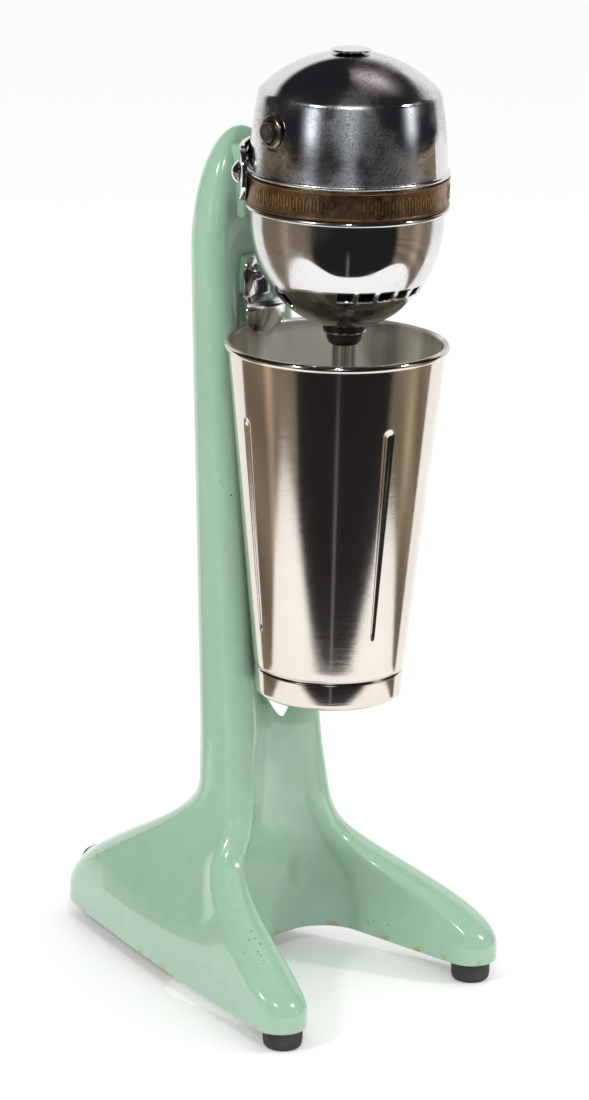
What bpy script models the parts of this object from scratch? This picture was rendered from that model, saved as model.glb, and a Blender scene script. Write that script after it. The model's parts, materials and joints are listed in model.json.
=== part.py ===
"""A single-spindle milkshake mixer: enamelled casting, chromed motor head, cup on its rest.

Frame: +Z up, front at -Y, push button on the -X side. The origin is on the table under the middle of
the mixer. Every size below is in millimetres, and build_object turns the meshes into metres.
"""

import math

import bmesh
import bpy
from mathutils import Matrix, Vector

MM = 0.001
GAP = 0.3

# Driving dimensions
TOTAL_HEIGHT = 479.0
HALF_DEPTH = 113.6
SKIRT_Z = 10.0
HEAD_Y = -63.2
CUP_Y = -58.75
CUP_HEIGHT = 177.0
CUP_REST_Z = 157.9

# Stand: column
COLUMN_LOW_Z = 130.0
COLUMN_HALF_WIDTH = 32.0
COLUMN_TAPER = 0.0171
COLUMN_FRONT_Y = -27.9
COLUMN_FRONT_LEAN = 0.108
COLUMN_REAR_Y = 6.6
COLUMN_REAR_LEAN = 0.068
COLUMN_REAR_CORNER = 14.0
COLUMN_FRONT_CORNER = 9.0
HOLLOW_FRONT = 8.0
HOLLOW_FRONT_END = (345.0, 385.0)
DOME_Z = 372.0
DOME_HEIGHT = 59.0

# Stand: footprint at the skirt
HEEL_RADIUS = 28.0
HEEL_Y = HALF_DEPTH - HEEL_RADIUS
TOE_RADIUS = 13.5
TOE_X = 69.0
TOE_Y = -96.9
SIDE_BOW = 2.5
LEG_INNER_X = 54.0
NOTCH_CORNER = 22.0
NOTCH_CENTRE = (LEG_INNER_X - NOTCH_CORNER, -30.4)
HEEL_RISE = (18.0, 104.0)
LEG_RISE_X = (23.0, 92.0)
LEG_RISE_Y = (18.0, 74.0)
LEG_FLARE = 0.1
FLARE_RISE = (60.0, 140.0)
WALL = 3.5
ROOF = 3.0

# Stand: bosses
BOSS_BACK_Y = 5.6
BOLT_HEAD_Y = 6.4
SEAT_Y = -5.1
SEAT_HALF_WIDTH = 12.0
SEAT_Z = (388.0, 424.0)
NOSE_Y = -2.1
NOSE_HALF_WIDTH = 8.5
NOSE_Z = (349.0, 369.0)
PAD_Y = -24.5
PAD_Z = 147.0
PAD_RADIUS = 6.5
LIP_Y = -20.6
CORD_Z = 25.0
CORD_BOSS_Y = 107.6

# Feet and base plate
FOOT_RADIUS = 9.8
TOE_FOOT = (68.1, -98.2)
HEEL_FOOT = (0.0, 103.5)
PLATE_THICK = 1.6
PLATE_MARGIN = 1.2

# Head
BAND_Z = (404.3, 418.8)
BAND_RADIUS = 49.1
BELT_RADIUS = 47.5
BEAD_RADIUS = 1.2
BOWL_RADIUS = 46.9
BOWL_DEPTH = 55.0
BOWL_Z = 398.0
NOSE_BORE = 11.0
CAP_WALL_Z = (421.5, 455.0)
CAP_WALL_RADIUS = (47.9, 44.5)
SHOULDER = (41.5, 460.8)
CROWN_Z = 477.5
SHEET = 1.6
VENT_COUNT = 7
VENT_PITCH = math.radians(15.5)
VENT_SIZE = (7.6, 4.0)
VENT_Z = 365.5
BOLT_RING = 33.0
BOLT_ANGLE = math.radians(105.0)
RECESS_RADIUS = 5.0
BUTTON_Z = 443.0
BUTTON_ANGLE = math.radians(98.0)
BUTTON_RADIUS = 4.9
BUTTON_PROUD = 3.0
BUSHING_RADIUS = 7.75

# Motor bracket
STRAP_RADIUS = (49.8, 52.2)
STRAP_Z = (404.5, 431.5)
STRAP_CORNER = 12.5
STRAP_SCREW_ANGLE = math.radians(44.0)
STRAP_SCREW_Z = 418.0
STRAP_END = math.radians(15.0)
BLOCK_HALF_WIDTH = 11.0
BRACKET_BOLT_Z = (395.5, 406.5)

# Cup guide
GUIDE_SCREW_Z = 360.5
GUIDE_PLATE_RADIUS = 9.0
GUIDE_BEND_Z = (349.0, 344.0)
GUIDE_THICK = 1.6
GUIDE_JOGGLE = 6.7
GUIDE_TONGUE_RADIUS = 13.5

# Cup
CUP_FOOT_RADIUS = 36.5
CUP_BAND_TOP = 14.5
CUP_RIM_RADIUS = 53.3
CUP_SHEET = 0.9
RIM_BEAD = 1.75

# Motor and spindle
SHAFT_RADIUS = 4.0
SPINDLE_RADIUS = 5.8
SPINDLE_LOW_RADIUS = 3.2
DISC_THICK = 1.6
AGITATOR_Z = (188.0, 205.0)

HEAD_SEGMENTS = 40
CUP_SEGMENTS = 40
SMALL_SEGMENTS = 16
BOWL_STEPS = 6
CROWN_STEPS = 4


def clear_scene():
    for obj in list(bpy.data.objects):
        bpy.data.objects.remove(obj, do_unlink=True)


def make_material(name, colour, roughness, metallic):
    material = bpy.data.materials.new(name)
    material.use_nodes = True
    shader = material.node_tree.nodes["Principled BSDF"]
    shader.inputs["Base Color"].default_value = (*colour, 1.0)
    shader.inputs["Roughness"].default_value = roughness
    shader.inputs["Metallic"].default_value = metallic
    material.diffuse_color = (*colour, 1.0)
    return material


ENAMEL = ("green_enamel", (0.35, 0.58, 0.42), 0.2, 0.0)
CHROME = ("chrome", (0.80, 0.79, 0.77), 0.08, 1.0)
STAINLESS = ("stainless", (0.72, 0.70, 0.66), 0.2, 1.0)
BRASS = ("brass", (0.45, 0.33, 0.18), 0.35, 1.0)
STEEL = ("steel", (0.55, 0.55, 0.54), 0.35, 1.0)
LAMINATION = ("lamination", (0.25, 0.25, 0.27), 0.5, 1.0)
COPPER = ("copper", (0.65, 0.32, 0.16), 0.35, 1.0)
RUBBER = ("rubber", (0.02, 0.02, 0.02), 0.7, 0.0)
PLASTIC = ("dark_plastic", (0.04, 0.02, 0.015), 0.3, 0.0)
CARBON = ("carbon", (0.03, 0.03, 0.03), 0.6, 0.0)


# ---------------------------------------------------------------- mesh helpers


def build_object(name, points, faces, look, parent=None, place=None):
    """One closed piece from points in millimetres. place is a matrix in millimetres."""
    mesh = bpy.data.meshes.new(name)
    place = place or Matrix.Identity(4)
    origin = place.to_translation()
    turn = place.to_3x3()
    shape = bmesh.new()
    corners = [shape.verts.new((turn @ Vector(point)) * MM) for point in points]
    for face in faces:
        shape.faces.new([corners[i] for i in face])
    caps = [face for face in shape.faces if len(face.verts) > 4]
    bmesh.ops.triangulate(shape, faces=caps)
    bmesh.ops.recalc_face_normals(shape, faces=shape.faces[:])
    shape.to_mesh(mesh)
    shape.free()
    mesh.shade_smooth()
    mesh.set_sharp_from_angle(angle=math.radians(35))
    obj = bpy.data.objects.new(name, mesh)
    obj.location = origin * MM
    bpy.context.scene.collection.objects.link(obj)
    if look:
        obj.data.materials.append(make_material(f"{name}_{look[0]}", *look[1:]))
    if parent:
        obj.parent = parent
        obj.matrix_parent_inverse = parent.matrix_world.inverted()
    return obj


def ring_faces(first, second, count):
    """The quads between two rings of points, given the index of each ring's first point."""
    faces = []
    for i in range(count):
        j = (i + 1) % count
        faces.append((first + i, first + j, second + j, second + i))
    return faces


def lathe(name, profile, look, segments=SMALL_SEGMENTS, **where):
    """A turned piece from (radius, z) points: a loop, or a line that starts and ends on the axis."""
    flat_ends = []
    if profile[0][0] == 0 and profile[0][1] == profile[1][1]:
        profile = profile[1:]
        flat_ends.append(0)
    if profile[-1][0] == 0 and profile[-1][1] == profile[-2][1]:
        profile = profile[:-1]
        flat_ends.append(len(profile) - 1)
    points = []
    starts = []
    for radius, z in profile:
        starts.append(len(points))
        if radius == 0:
            points.append((0, 0, z))
            continue
        for i in range(segments):
            angle = math.tau * i / segments
            points.append((radius * math.cos(angle), radius * math.sin(angle), z))
    pairs = list(zip(range(len(profile)), range(1, len(profile))))
    if not flat_ends and profile[0][0] > 0:
        pairs.append((len(profile) - 1, 0))
    faces = [tuple(range(starts[end], starts[end] + segments)) for end in flat_ends]
    for a, b in pairs:
        if profile[a][0] == 0 or profile[b][0] == 0:
            pole, ring = (a, b) if profile[a][0] == 0 else (b, a)
            for i in range(segments):
                faces.append((starts[pole], starts[ring] + i, starts[ring] + (i + 1) % segments))
        else:
            faces += ring_faces(starts[a], starts[b], segments)
    return build_object(name, points, faces, look, **where)


def rod(name, radius, low, high, look, segments=SMALL_SEGMENTS, **where):
    profile = [(0, low), (radius, low), (radius, high), (0, high)]
    return lathe(name, profile, look, segments, **where)


def tube(name, inner, outer, low, high, look, segments=SMALL_SEGMENTS, **where):
    profile = [(inner, low), (outer, low), (outer, high), (inner, high)]
    return lathe(name, profile, look, segments, **where)


def prism(name, outline, low, high, look, **where):
    """An outline in X and Y, extruded from low to high along Z."""
    count = len(outline)
    points = [(x, y, low) for x, y in outline] + [(x, y, high) for x, y in outline]
    faces = ring_faces(0, count, count)
    faces.append(tuple(range(count)))
    faces.append(tuple(range(count, 2 * count)))
    return build_object(name, points, faces, look, **where)


def box(name, low, high, look, **where):
    outline = [(low[0], low[1]), (high[0], low[1]), (high[0], high[1]), (low[0], high[1])]
    return prism(name, outline, low[2], high[2], look, **where)


def loft(name, rings, look, **where):
    """A closed piece through rings of equally many points, capped at both ends."""
    count = len(rings[0])
    points = [point for ring in rings for point in ring]
    faces = []
    for level in range(len(rings) - 1):
        faces += ring_faces(level * count, (level + 1) * count, count)
    faces.append(tuple(range(count)))
    faces.append(tuple(range(len(points) - count, len(points))))
    return build_object(name, points, faces, look, **where)


def add_boolean(obj, other, operation):
    modifier = obj.modifiers.new(other.name, "BOOLEAN")
    modifier.operation = operation
    modifier.object = other
    modifier.solver = "EXACT"
    other.hide_render = True
    other.display_type = "WIRE"


def cut(obj, cutter):
    add_boolean(obj, cutter, "DIFFERENCE")


def unite(obj, other):
    add_boolean(obj, other, "UNION")


def make_empty(name, x, y, z):
    empty = bpy.data.objects.new(name, None)
    empty.location = (x * MM, y * MM, z * MM)
    bpy.context.scene.collection.objects.link(empty)
    bpy.context.view_layer.update()
    return empty


def at(x, y, z):
    return Matrix.Translation((x, y, z))


def along_y(x, y, z):
    """A place whose local Z points to the rear, +Y."""
    return at(x, y, z) @ Matrix.Rotation(math.radians(-90), 4, "X")


def outward(angle, radius, z):
    """A place on the head, angle from the front towards +X, with local Z pointing out from its axis."""
    x = math.sin(angle)
    y = -math.cos(angle)
    turn = Vector((x, y, 0)).to_track_quat("Z", "Y").to_matrix().to_4x4()
    return at(radius * x, HEAD_Y + radius * y, z) @ turn


def arc(centre, radius, start, end, steps):
    """Points on an arc, both ends included. Angles are in degrees."""
    points = []
    for i in range(steps + 1):
        angle = math.radians(start + (end - start) * i / steps)
        points.append((centre[0] + radius * math.cos(angle), centre[1] + radius * math.sin(angle)))
    return points


def smoothstep(low, high, value):
    t = min(max((value - low) / (high - low), 0.0), 1.0)
    return t * t * (3 - 2 * t)


def mix(a, b, t):
    return a + (b - a) * t


# ---------------------------------------------------------------- stand

HEEL_STEPS = 4
SIDE_STEPS = 4
TOE_STEPS = 5
INNER_STEPS = 2
CORNER_STEPS = 3
BACK_STEPS = 2
FRONT_STEPS = INNER_STEPS + CORNER_STEPS + BACK_STEPS


def footprint_half():
    """The skirt's outline from the middle of the heel round the +X side to the middle of the notch."""
    run = HEEL_Y - TOE_Y
    slope = math.degrees(math.atan((TOE_X + TOE_RADIUS - HEEL_RADIUS) / run))
    points = arc((0, HEEL_Y), HEEL_RADIUS, 90, slope, HEEL_STEPS)
    toe = arc((TOE_X, TOE_Y), TOE_RADIUS, slope, -180, TOE_STEPS)
    start, end = points[-1], toe[0]
    for i in range(1, SIDE_STEPS):
        t = i / SIDE_STEPS
        bow = SIDE_BOW * math.sin(math.pi * t)
        points.append((mix(start[0], end[0], t) + bow, mix(start[1], end[1], t)))
    points += toe
    for i in range(1, INNER_STEPS):
        t = i / INNER_STEPS
        points.append((mix(toe[-1][0], LEG_INNER_X, t), mix(TOE_Y, NOTCH_CENTRE[1], t)))
    points += arc(NOTCH_CENTRE, NOTCH_CORNER, 0, 90, CORNER_STEPS)
    back_y = NOTCH_CENTRE[1] + NOTCH_CORNER
    for i in range(1, BACK_STEPS + 1):
        points.append((NOTCH_CENTRE[0] * (1 - i / BACK_STEPS), back_y))
    return points


def column_half(z):
    """The column's outline at height z, with the same stations as footprint_half."""
    rise = min(max(z, COLUMN_LOW_Z), DOME_Z) - COLUMN_LOW_Z
    half_width = COLUMN_HALF_WIDTH - COLUMN_TAPER * rise
    front = COLUMN_FRONT_Y + COLUMN_FRONT_LEAN * rise
    rear = COLUMN_REAR_Y + COLUMN_REAR_LEAN * rise
    hollow = HOLLOW_FRONT * (1 - smoothstep(*HOLLOW_FRONT_END, z))
    rear_x = half_width - COLUMN_REAR_CORNER
    front_x = half_width - COLUMN_FRONT_CORNER
    points = [(0, rear)]
    points += arc((rear_x, rear - COLUMN_REAR_CORNER), COLUMN_REAR_CORNER, 90, 0, HEEL_STEPS - 1)
    start_y = points[-1][1]
    end_y = front + COLUMN_FRONT_CORNER
    for i in range(1, SIDE_STEPS):
        points.append((half_width, mix(start_y, end_y, i / SIDE_STEPS)))
    points += arc((front_x, end_y), COLUMN_FRONT_CORNER, 0, -90, TOE_STEPS)
    for i in range(1, FRONT_STEPS + 1):
        t = i / FRONT_STEPS
        x = front_x * (1 - t)
        points.append((x, front + hollow * (1 - math.cos(math.pi * t)) / 2))
    return points


def stand_ring(z):
    """The casting's outline at height z: the column spreads into heel and legs below, and domes above."""
    foot = footprint_half()
    column = column_half(z)
    ends = [point[1] for point in column_half(DOME_Z)]
    centre_y = (max(ends) + min(ends)) / 2
    t = min(max(z - DOME_Z, 0.0) / DOME_HEIGHT, 1.0)
    scale = math.sqrt(1 - t**2)
    half = []
    heel = 1 - smoothstep(*HEEL_RISE, z)
    flare = 1 - smoothstep(*FLARE_RISE, z)
    leg_x = mix(1 - smoothstep(*LEG_RISE_X, z), flare, LEG_FLARE)
    leg_y = mix(1 - smoothstep(*LEG_RISE_Y, z), flare, LEG_FLARE)
    for i, (outer, inner) in enumerate(zip(foot, column)):
        forward = min(max(i - HEEL_STEPS, 0) / SIDE_STEPS, 1.0)
        x = mix(inner[0], outer[0], mix(heel, leg_x, forward))
        y = mix(inner[1], outer[1], mix(heel, leg_y, forward))
        if t > 0:
            x *= scale
            y = mix(centre_y, y, scale)
        half.append((x, y))
    mirrored = [(-x, y) for x, y in reversed(half[1:-1])]
    return half + mirrored


def shrunk(ring, distance):
    """The same outline moved inwards by distance, point by point."""
    moved = []
    count = len(ring)
    for i, (x, y) in enumerate(ring):
        before = ring[i - 1]
        after = ring[(i + 1) % count]
        along = Vector((after[0] - before[0], after[1] - before[1])).normalized()
        moved.append((x + along.y * distance, y - along.x * distance))
    return moved


def stand_levels(step, dome_steps):
    """Heights of the rings: every step through the base, few along the column, then round the dome."""
    levels = [SKIRT_Z + step * i for i in range(int((100 - SKIRT_Z) / step) + 1)]
    levels += [108.0, 118.0, COLUMN_LOW_Z, 145.0, 240.0, HOLLOW_FRONT_END[0], 358.0, DOME_Z]
    for i in range(1, dome_steps):
        levels.append(DOME_Z + DOME_HEIGHT * math.sin(math.pi / 2 * i / dome_steps))
    return levels


def make_stand():
    outer = []
    for z in stand_levels(9.0, 5) + [DOME_Z + 0.997 * DOME_HEIGHT]:
        outer.append([(x, y, z) for x, y in stand_ring(z)])
    stand = loft("stand_casting", outer, ENAMEL)
    seat = box(
        "seat_boss",
        (-SEAT_HALF_WIDTH, SEAT_Y, SEAT_Z[0]),
        (SEAT_HALF_WIDTH, BOSS_BACK_Y, SEAT_Z[1]),
        None,
    )
    nose = box(
        "nose_boss",
        (-NOSE_HALF_WIDTH, NOSE_Y, NOSE_Z[0]),
        (NOSE_HALF_WIDTH, BOSS_BACK_Y, NOSE_Z[1]),
        None,
    )
    pad = rod("rest_pad", PAD_RADIUS, 0, 12, None, place=along_y(0, PAD_Y, PAD_Z))
    cord_boss = rod("cord_boss", 9.5, -14, 3, None, place=along_y(0, CORD_BOSS_Y, CORD_Z))

    inner = []
    for z in [SKIRT_Z, SKIRT_Z + 6] + stand_levels(15.0, 4)[1:]:
        ring = shrunk(stand_ring(z), WALL)
        low = z - ROOF if z > SKIRT_Z else z - 2
        inner.append([(x, y, low) for x, y in ring])
    cavity = loft("stand_cavity", inner, None)
    for boss in (seat, nose, pad, cord_boss):
        unite(stand, boss)
    cut(stand, cavity)

    for i, z in enumerate(BRACKET_BOLT_Z):
        hole = rod(f"bracket_bolt_hole_{i}", 2.8, -20, 20, None, place=along_y(0, 0, z))
        cut(stand, hole)
    guide_hole = rod("guide_screw_hole", 2.3, -5, 6, None, place=along_y(0, NOSE_Y, GUIDE_SCREW_Z))
    cut(stand, guide_hole)
    rest_hole = rod("rest_screw_hole", 1.8, -5, 8, None, 14, place=along_y(0, PAD_Y, PAD_Z))
    cut(stand, rest_hole)
    spot_face = rod("cord_spot_face", 11.5, 0, 20, None, place=along_y(0, CORD_BOSS_Y, CORD_Z))
    cut(stand, spot_face)
    cord_hole = rod("cord_hole", 6.3, -40, 10, None, place=along_y(0, CORD_BOSS_Y, CORD_Z))
    cut(stand, cord_hole)
    return stand


def make_base_plate():
    outline = shrunk(stand_ring(SKIRT_Z), WALL + PLATE_MARGIN)
    low = SKIRT_Z + GAP
    plate = prism("base_cover_plate", outline, low, low + PLATE_THICK, STEEL)
    for i, (x, y) in enumerate(foot_places()):
        cut(plate, rod(f"foot_screw_hole_{i}", 2.6, 0, 30, None, place=at(x, y, 0)))
    return plate


def foot_places():
    return [(-TOE_FOOT[0], TOE_FOOT[1]), TOE_FOOT, HEEL_FOOT]


def make_feet():
    names = ("front_left", "front_right", "rear")
    for name, (x, y) in zip(names, foot_places()):
        top = SKIRT_Z
        profile = [
            (2.6, top),
            (2.6, 4.5),
            (5.0, 4.5),
            (5.0, 0),
            (FOOT_RADIUS - 2.0, 0),
            (FOOT_RADIUS - 0.6, 1.2),
            (FOOT_RADIUS, 3.5),
            (FOOT_RADIUS, top),
        ]
        lathe(f"foot_{name}", profile, RUBBER, 20, place=at(x, y, 0))
        screw = [(0, 1.5), (4.5, 1.5), (4.5, 4.2), (2.3, 4.2), (2.3, 17), (0, 17)]
        lathe(f"foot_screw_{name}", screw, STEEL, 12, place=at(x, y, 0))


def make_cord_bushing():
    profile = [
        (3.6, -16),
        (6.0, -16),
        (6.0, GAP),
        (8.0, GAP),
        (8.0, 2.2),
        (6.8, 3.2),
        (4.4, 3.2),
        (3.6, 2.4),
    ]
    lathe("cord_bushing", profile, RUBBER, place=along_y(0, CORD_BOSS_Y, CORD_Z))


# ---------------------------------------------------------------- cup rest and cup guide


def make_cup_rest():
    """A pressed tongue on the column's pad, with a shelf under the cup's foot and a lip behind it."""
    shelf_top = CUP_REST_Z
    shelf_low = shelf_top - 1.6
    back = PAD_Y - GAP
    tongue = []
    for x, z in arc((0, 138.6), 2.2, 200, 340, 4):
        tongue.append((x, z))
    tongue += [(9.5, 149.0), (9.5, shelf_top - 0.4), (-9.5, shelf_top - 0.4), (-9.5, 149.0)]
    place = along_y(0, back - 1.6, 0)
    rest = prism("cup_rest", [(x, -z) for x, z in tongue], 0, 1.6, CHROME, place=place)
    shelf = prism(
        "rest_shelf",
        [(-9, LIP_Y), (-9, -36), (-6, -40), (6, -40), (9, -36), (9, LIP_Y)],
        shelf_low,
        shelf_top,
        None,
    )
    lip = box("rest_lip", (-9, LIP_Y - 1.2, shelf_low), (9, LIP_Y, shelf_top + 4.5), None)
    unite(rest, shelf)
    unite(rest, lip)
    cut(rest, rod("rest_plate_hole", 2.2, -5, 5, None, place=along_y(0, back, PAD_Z)))
    screw = [(0, -3.4), (2.2, -3.0), (3.6, -1.9), (3.6, -GAP), (1.5, -GAP), (1.5, 7), (0, 7)]
    lathe("cup_rest_screw", screw, STEEL, 16, place=along_y(0, back - 1.6, PAD_Z))


def make_cup_guide():
    """A round-topped plate on the boss that joggles forward into a half-round tongue inside the rim."""
    back = NOSE_Y - GAP
    tongue_y = back - GUIDE_JOGGLE
    top_bend, low_bend = GUIDE_BEND_Z
    stations = []
    for angle in (80, 60, 40, 20, 0):
        turn = math.radians(angle)
        z = GUIDE_SCREW_Z + GUIDE_PLATE_RADIUS * math.sin(turn)
        stations.append((back, z, GUIDE_PLATE_RADIUS * math.cos(turn)))
    stations.append((back, top_bend, GUIDE_PLATE_RADIUS))
    for angle in (0, 15, 30, 45, 60, 75, 85):
        turn = math.radians(angle)
        z = low_bend - GUIDE_TONGUE_RADIUS * math.sin(turn)
        stations.append((tongue_y, z, GUIDE_TONGUE_RADIUS * math.cos(turn)))
    rings = []
    for y, z, half in stations:
        front = y - GUIDE_THICK
        rings.append([(-half, y, z), (half, y, z), (half, front, z), (-half, front, z)])
    guide = loft("cup_guide", rings, CHROME)
    cut(guide, rod("guide_plate_hole", 2.6, -5, 5, None, place=along_y(0, back, GUIDE_SCREW_Z)))
    screw = [(0, -3.6), (2.4, -3.2), (4.5, -1.8), (4.5, -GAP), (2.0, -GAP), (2.0, 6), (0, 6)]
    lathe("cup_guide_screw", screw, CHROME, place=along_y(0, back - GUIDE_THICK, GUIDE_SCREW_Z))


# ---------------------------------------------------------------- cup


def cup_outer(z):
    """Radius of the cup's outer wall at height z above its foot."""
    if z <= CUP_BAND_TOP:
        return CUP_FOOT_RADIUS + 0.5 * z / CUP_BAND_TOP
    low = CUP_FOOT_RADIUS + 0.7
    return mix(low, CUP_RIM_RADIUS, (z - CUP_BAND_TOP) / (CUP_HEIGHT - CUP_BAND_TOP))


def make_cup():
    bead_z = CUP_HEIGHT - RIM_BEAD
    top = cup_outer(bead_z)
    outside = [
        (0, 3.0),
        (30.5, 3.0),
        (32.0, 0.0),
        (34.5, 0.0),
        (36.0, 1.0),
        (CUP_FOOT_RADIUS, 2.8),
        (cup_outer(CUP_BAND_TOP), CUP_BAND_TOP - 1.0),
        (cup_outer(CUP_BAND_TOP) - 0.7, CUP_BAND_TOP),
        (cup_outer(CUP_BAND_TOP) + 0.2, CUP_BAND_TOP + 1.2),
        (cup_outer(95.0), 95.0),
        (top - 0.3, bead_z - 1.2),
    ]
    bead = arc((top, bead_z), RIM_BEAD, -60, 180, 5)
    inside = [
        (top - CUP_SHEET - 0.6, bead_z - 1.6),
        (cup_outer(95.0) - CUP_SHEET, 95.0),
        (cup_outer(CUP_BAND_TOP) - CUP_SHEET, CUP_BAND_TOP),
        (34.8, 5.5),
        (33.0, 4.0),
        (0, 4.0),
    ]
    carrier = make_empty("cup_axis", 0, CUP_Y, CUP_REST_Z + GAP)
    place = at(0, CUP_Y, CUP_REST_Z + GAP)
    lathe(
        "mixing_cup", outside + bead + inside, STAINLESS, CUP_SEGMENTS, parent=carrier, place=place
    )


# ---------------------------------------------------------------- head


def bowl_wall(radius, depth, low_angle, steps):
    """Quarter ellipse from the belt down to the nose."""
    points = []
    for i in range(steps + 1):
        angle = math.radians(low_angle) * i / steps
        points.append((radius * math.cos(angle), BOWL_Z - depth * math.sin(angle)))
    return points


def make_lower_housing():
    nose_angle = math.degrees(math.acos(NOSE_BORE / BOWL_RADIUS))
    outer = bowl_wall(BOWL_RADIUS, BOWL_DEPTH, nose_angle, BOWL_STEPS)
    inner_radius = BOWL_RADIUS - SHEET
    inner_angle = math.degrees(math.acos(NOSE_BORE / inner_radius))
    inner = bowl_wall(inner_radius, BOWL_DEPTH - SHEET, inner_angle, BOWL_STEPS)
    middle = sum(BAND_Z) / 2
    bead_z = BAND_Z[0] - BEAD_RADIUS - 0.2
    bead = arc((BELT_RADIUS + 0.5, bead_z), BEAD_RADIUS, -80, 80, 3)
    neck = [(BELT_RADIUS, BAND_Z[0]), (BELT_RADIUS, middle - GAP), (BELT_RADIUS - SHEET, middle - GAP)]
    profile = neck + inner + outer[::-1] + bead
    housing = lathe("lower_housing", profile, CHROME, HEAD_SEGMENTS, place=at(0, HEAD_Y, 0))
    for i in range(VENT_COUNT):
        angle = VENT_PITCH * (i - (VENT_COUNT - 1) / 2)
        half_width = VENT_SIZE[0] / 2
        half_height = VENT_SIZE[1] / 2
        slot = box(
            f"vent_{i}",
            (-half_width, -half_height, -20),
            (half_width, half_height, 12),
            None,
            place=outward(angle, 38.7, VENT_Z),
        )
        cut(housing, slot)
    for side in (-1, 1):
        x, y = bolt_place(side)
        recess = rod(f"bolt_recess_{side}", RECESS_RADIUS, 330, 372, None, place=at(x, y, 0))
        cut(housing, recess)
    return housing


def bolt_place(side):
    x = side * BOLT_RING * math.sin(BOLT_ANGLE)
    y = HEAD_Y - BOLT_RING * math.cos(BOLT_ANGLE)
    return x, y


def crown(radius, top, steps, offset=0.0):
    """Spherical crown from the shoulder to near its middle."""
    rise = top - SHOULDER[1]
    sphere = (radius**2 + rise**2) / (2 * rise)
    points = []
    for i in range(steps):
        r = (radius - offset) * (1 - i / steps)
        points.append((r, top - sphere + math.sqrt(sphere**2 - r**2) - offset))
    return points


def make_upper_housing():
    middle = sum(BAND_Z) / 2
    bead_z = BAND_Z[1] + BEAD_RADIUS + 0.2
    bead = arc((BELT_RADIUS + 0.5, bead_z), BEAD_RADIUS, -80, 80, 3)
    low, high = CAP_WALL_RADIUS
    outer = [(BELT_RADIUS, middle + GAP), (BELT_RADIUS, BAND_Z[1])]
    outer += bead
    outer += [(low, CAP_WALL_Z[0] + 1.5), (mix(low, high, 0.36), 440.0), (high, CAP_WALL_Z[1])]
    outer += [(high - 0.8, CAP_WALL_Z[1] + 3.4)]
    outer += [point for point in crown(SHOULDER[0], CROWN_Z, CROWN_STEPS) if point[0] > 8]
    inner = [point for point in crown(SHOULDER[0], CROWN_Z, CROWN_STEPS, SHEET) if point[0] > 8]
    plug_bore = 5.0
    ends = [(plug_bore, CROWN_Z - 0.1), (plug_bore, CROWN_Z - SHEET - 0.1)]
    under = [(high - SHEET, CAP_WALL_Z[1]), (low - SHEET, CAP_WALL_Z[0]), (BELT_RADIUS - SHEET, middle + GAP)]
    profile = outer + ends + inner[::-1] + under
    housing = lathe("upper_housing", profile, CHROME, HEAD_SEGMENTS, place=at(0, HEAD_Y, 0))
    cut(housing, rod("bushing_hole", 6.1, -8, 8, None, place=outward(-BUTTON_ANGLE, 46, BUTTON_Z)))
    return housing


def make_band():
    z0, z1 = BAND_Z
    profile = [
        (BELT_RADIUS + GAP, z0 + GAP),
        (BAND_RADIUS, z0 + GAP),
        (BAND_RADIUS, z1 - GAP),
        (BELT_RADIUS + GAP, z1 - GAP),
    ]
    return lathe("name_band", profile, BRASS, HEAD_SEGMENTS, place=at(0, HEAD_Y, 0))


def make_top_plug():
    top = TOTAL_HEIGHT
    seat = CROWN_Z + GAP
    profile = [(0, seat - 8), (4.6, seat - 8), (4.6, seat - 0.05)]
    profile += [(9.6, seat - 0.05), (10.0, seat + 0.4), (8.6, top - 0.2), (0, top)]
    lathe("top_plug", profile, CHROME, 24, place=at(0, HEAD_Y, 0))


def make_push_button():
    """A button in a threaded bushing through the upper housing's wall, with the switch behind it."""
    face = 45.9
    bushing = [
        (5.2, face - 5),
        (5.4 + GAP, face - 5),
        (5.4 + GAP, face + 0.5),
        (BUSHING_RADIUS, face + 0.5),
        (BUSHING_RADIUS, face + 1.6),
        (BUSHING_RADIUS - 0.8, face + 2.2),
        (5.2, face + 2.2),
    ]
    place = outward(-BUTTON_ANGLE, 0, BUTTON_Z)
    ring = lathe("switch_bushing", bushing, STEEL, 24, place=place)
    hole = rod("bushing_spot_face", BUSHING_RADIUS + GAP, face + 0.2, face + 9, None, 24, place=place)
    tip = face + 2.2 + BUTTON_PROUD
    carrier = make_empty("button_axis", *place.to_translation())
    button = [
        (0, face - 7),
        (2.4, face - 7),
        (2.4, face - 1.5),
        (BUTTON_RADIUS, face - 1.5),
        (BUTTON_RADIUS, tip - 0.9),
        (BUTTON_RADIUS - 0.8, tip - 0.2),
        (0, tip),
    ]
    lathe("push_button", button, PLASTIC, 24, parent=carrier, place=place)
    return ring, hole


def make_speed_switch():
    place = outward(-BUTTON_ANGLE, 0, BUTTON_Z)
    body = box("speed_switch", (-7, -6, 35.6), (7, 6, 40.5), PLASTIC, place=place)
    cut(body, rod("speed_switch_bore", 2.8, 30, 45, None, place=place))


def make_housing_bolts():
    for name, side in (("left", -1), ("right", 1)):
        x, y = bolt_place(side)
        profile = [(0, 363.0), (3.4, 363.0), (4.1, 364.2), (4.1, 367.0), (2.0, 367.0), (2.0, 454.0), (0, 454.0)]
        lathe(f"housing_bolt_{name}", profile, STEEL, 16, place=at(x, y, 0))


# ---------------------------------------------------------------- motor and spindle


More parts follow.
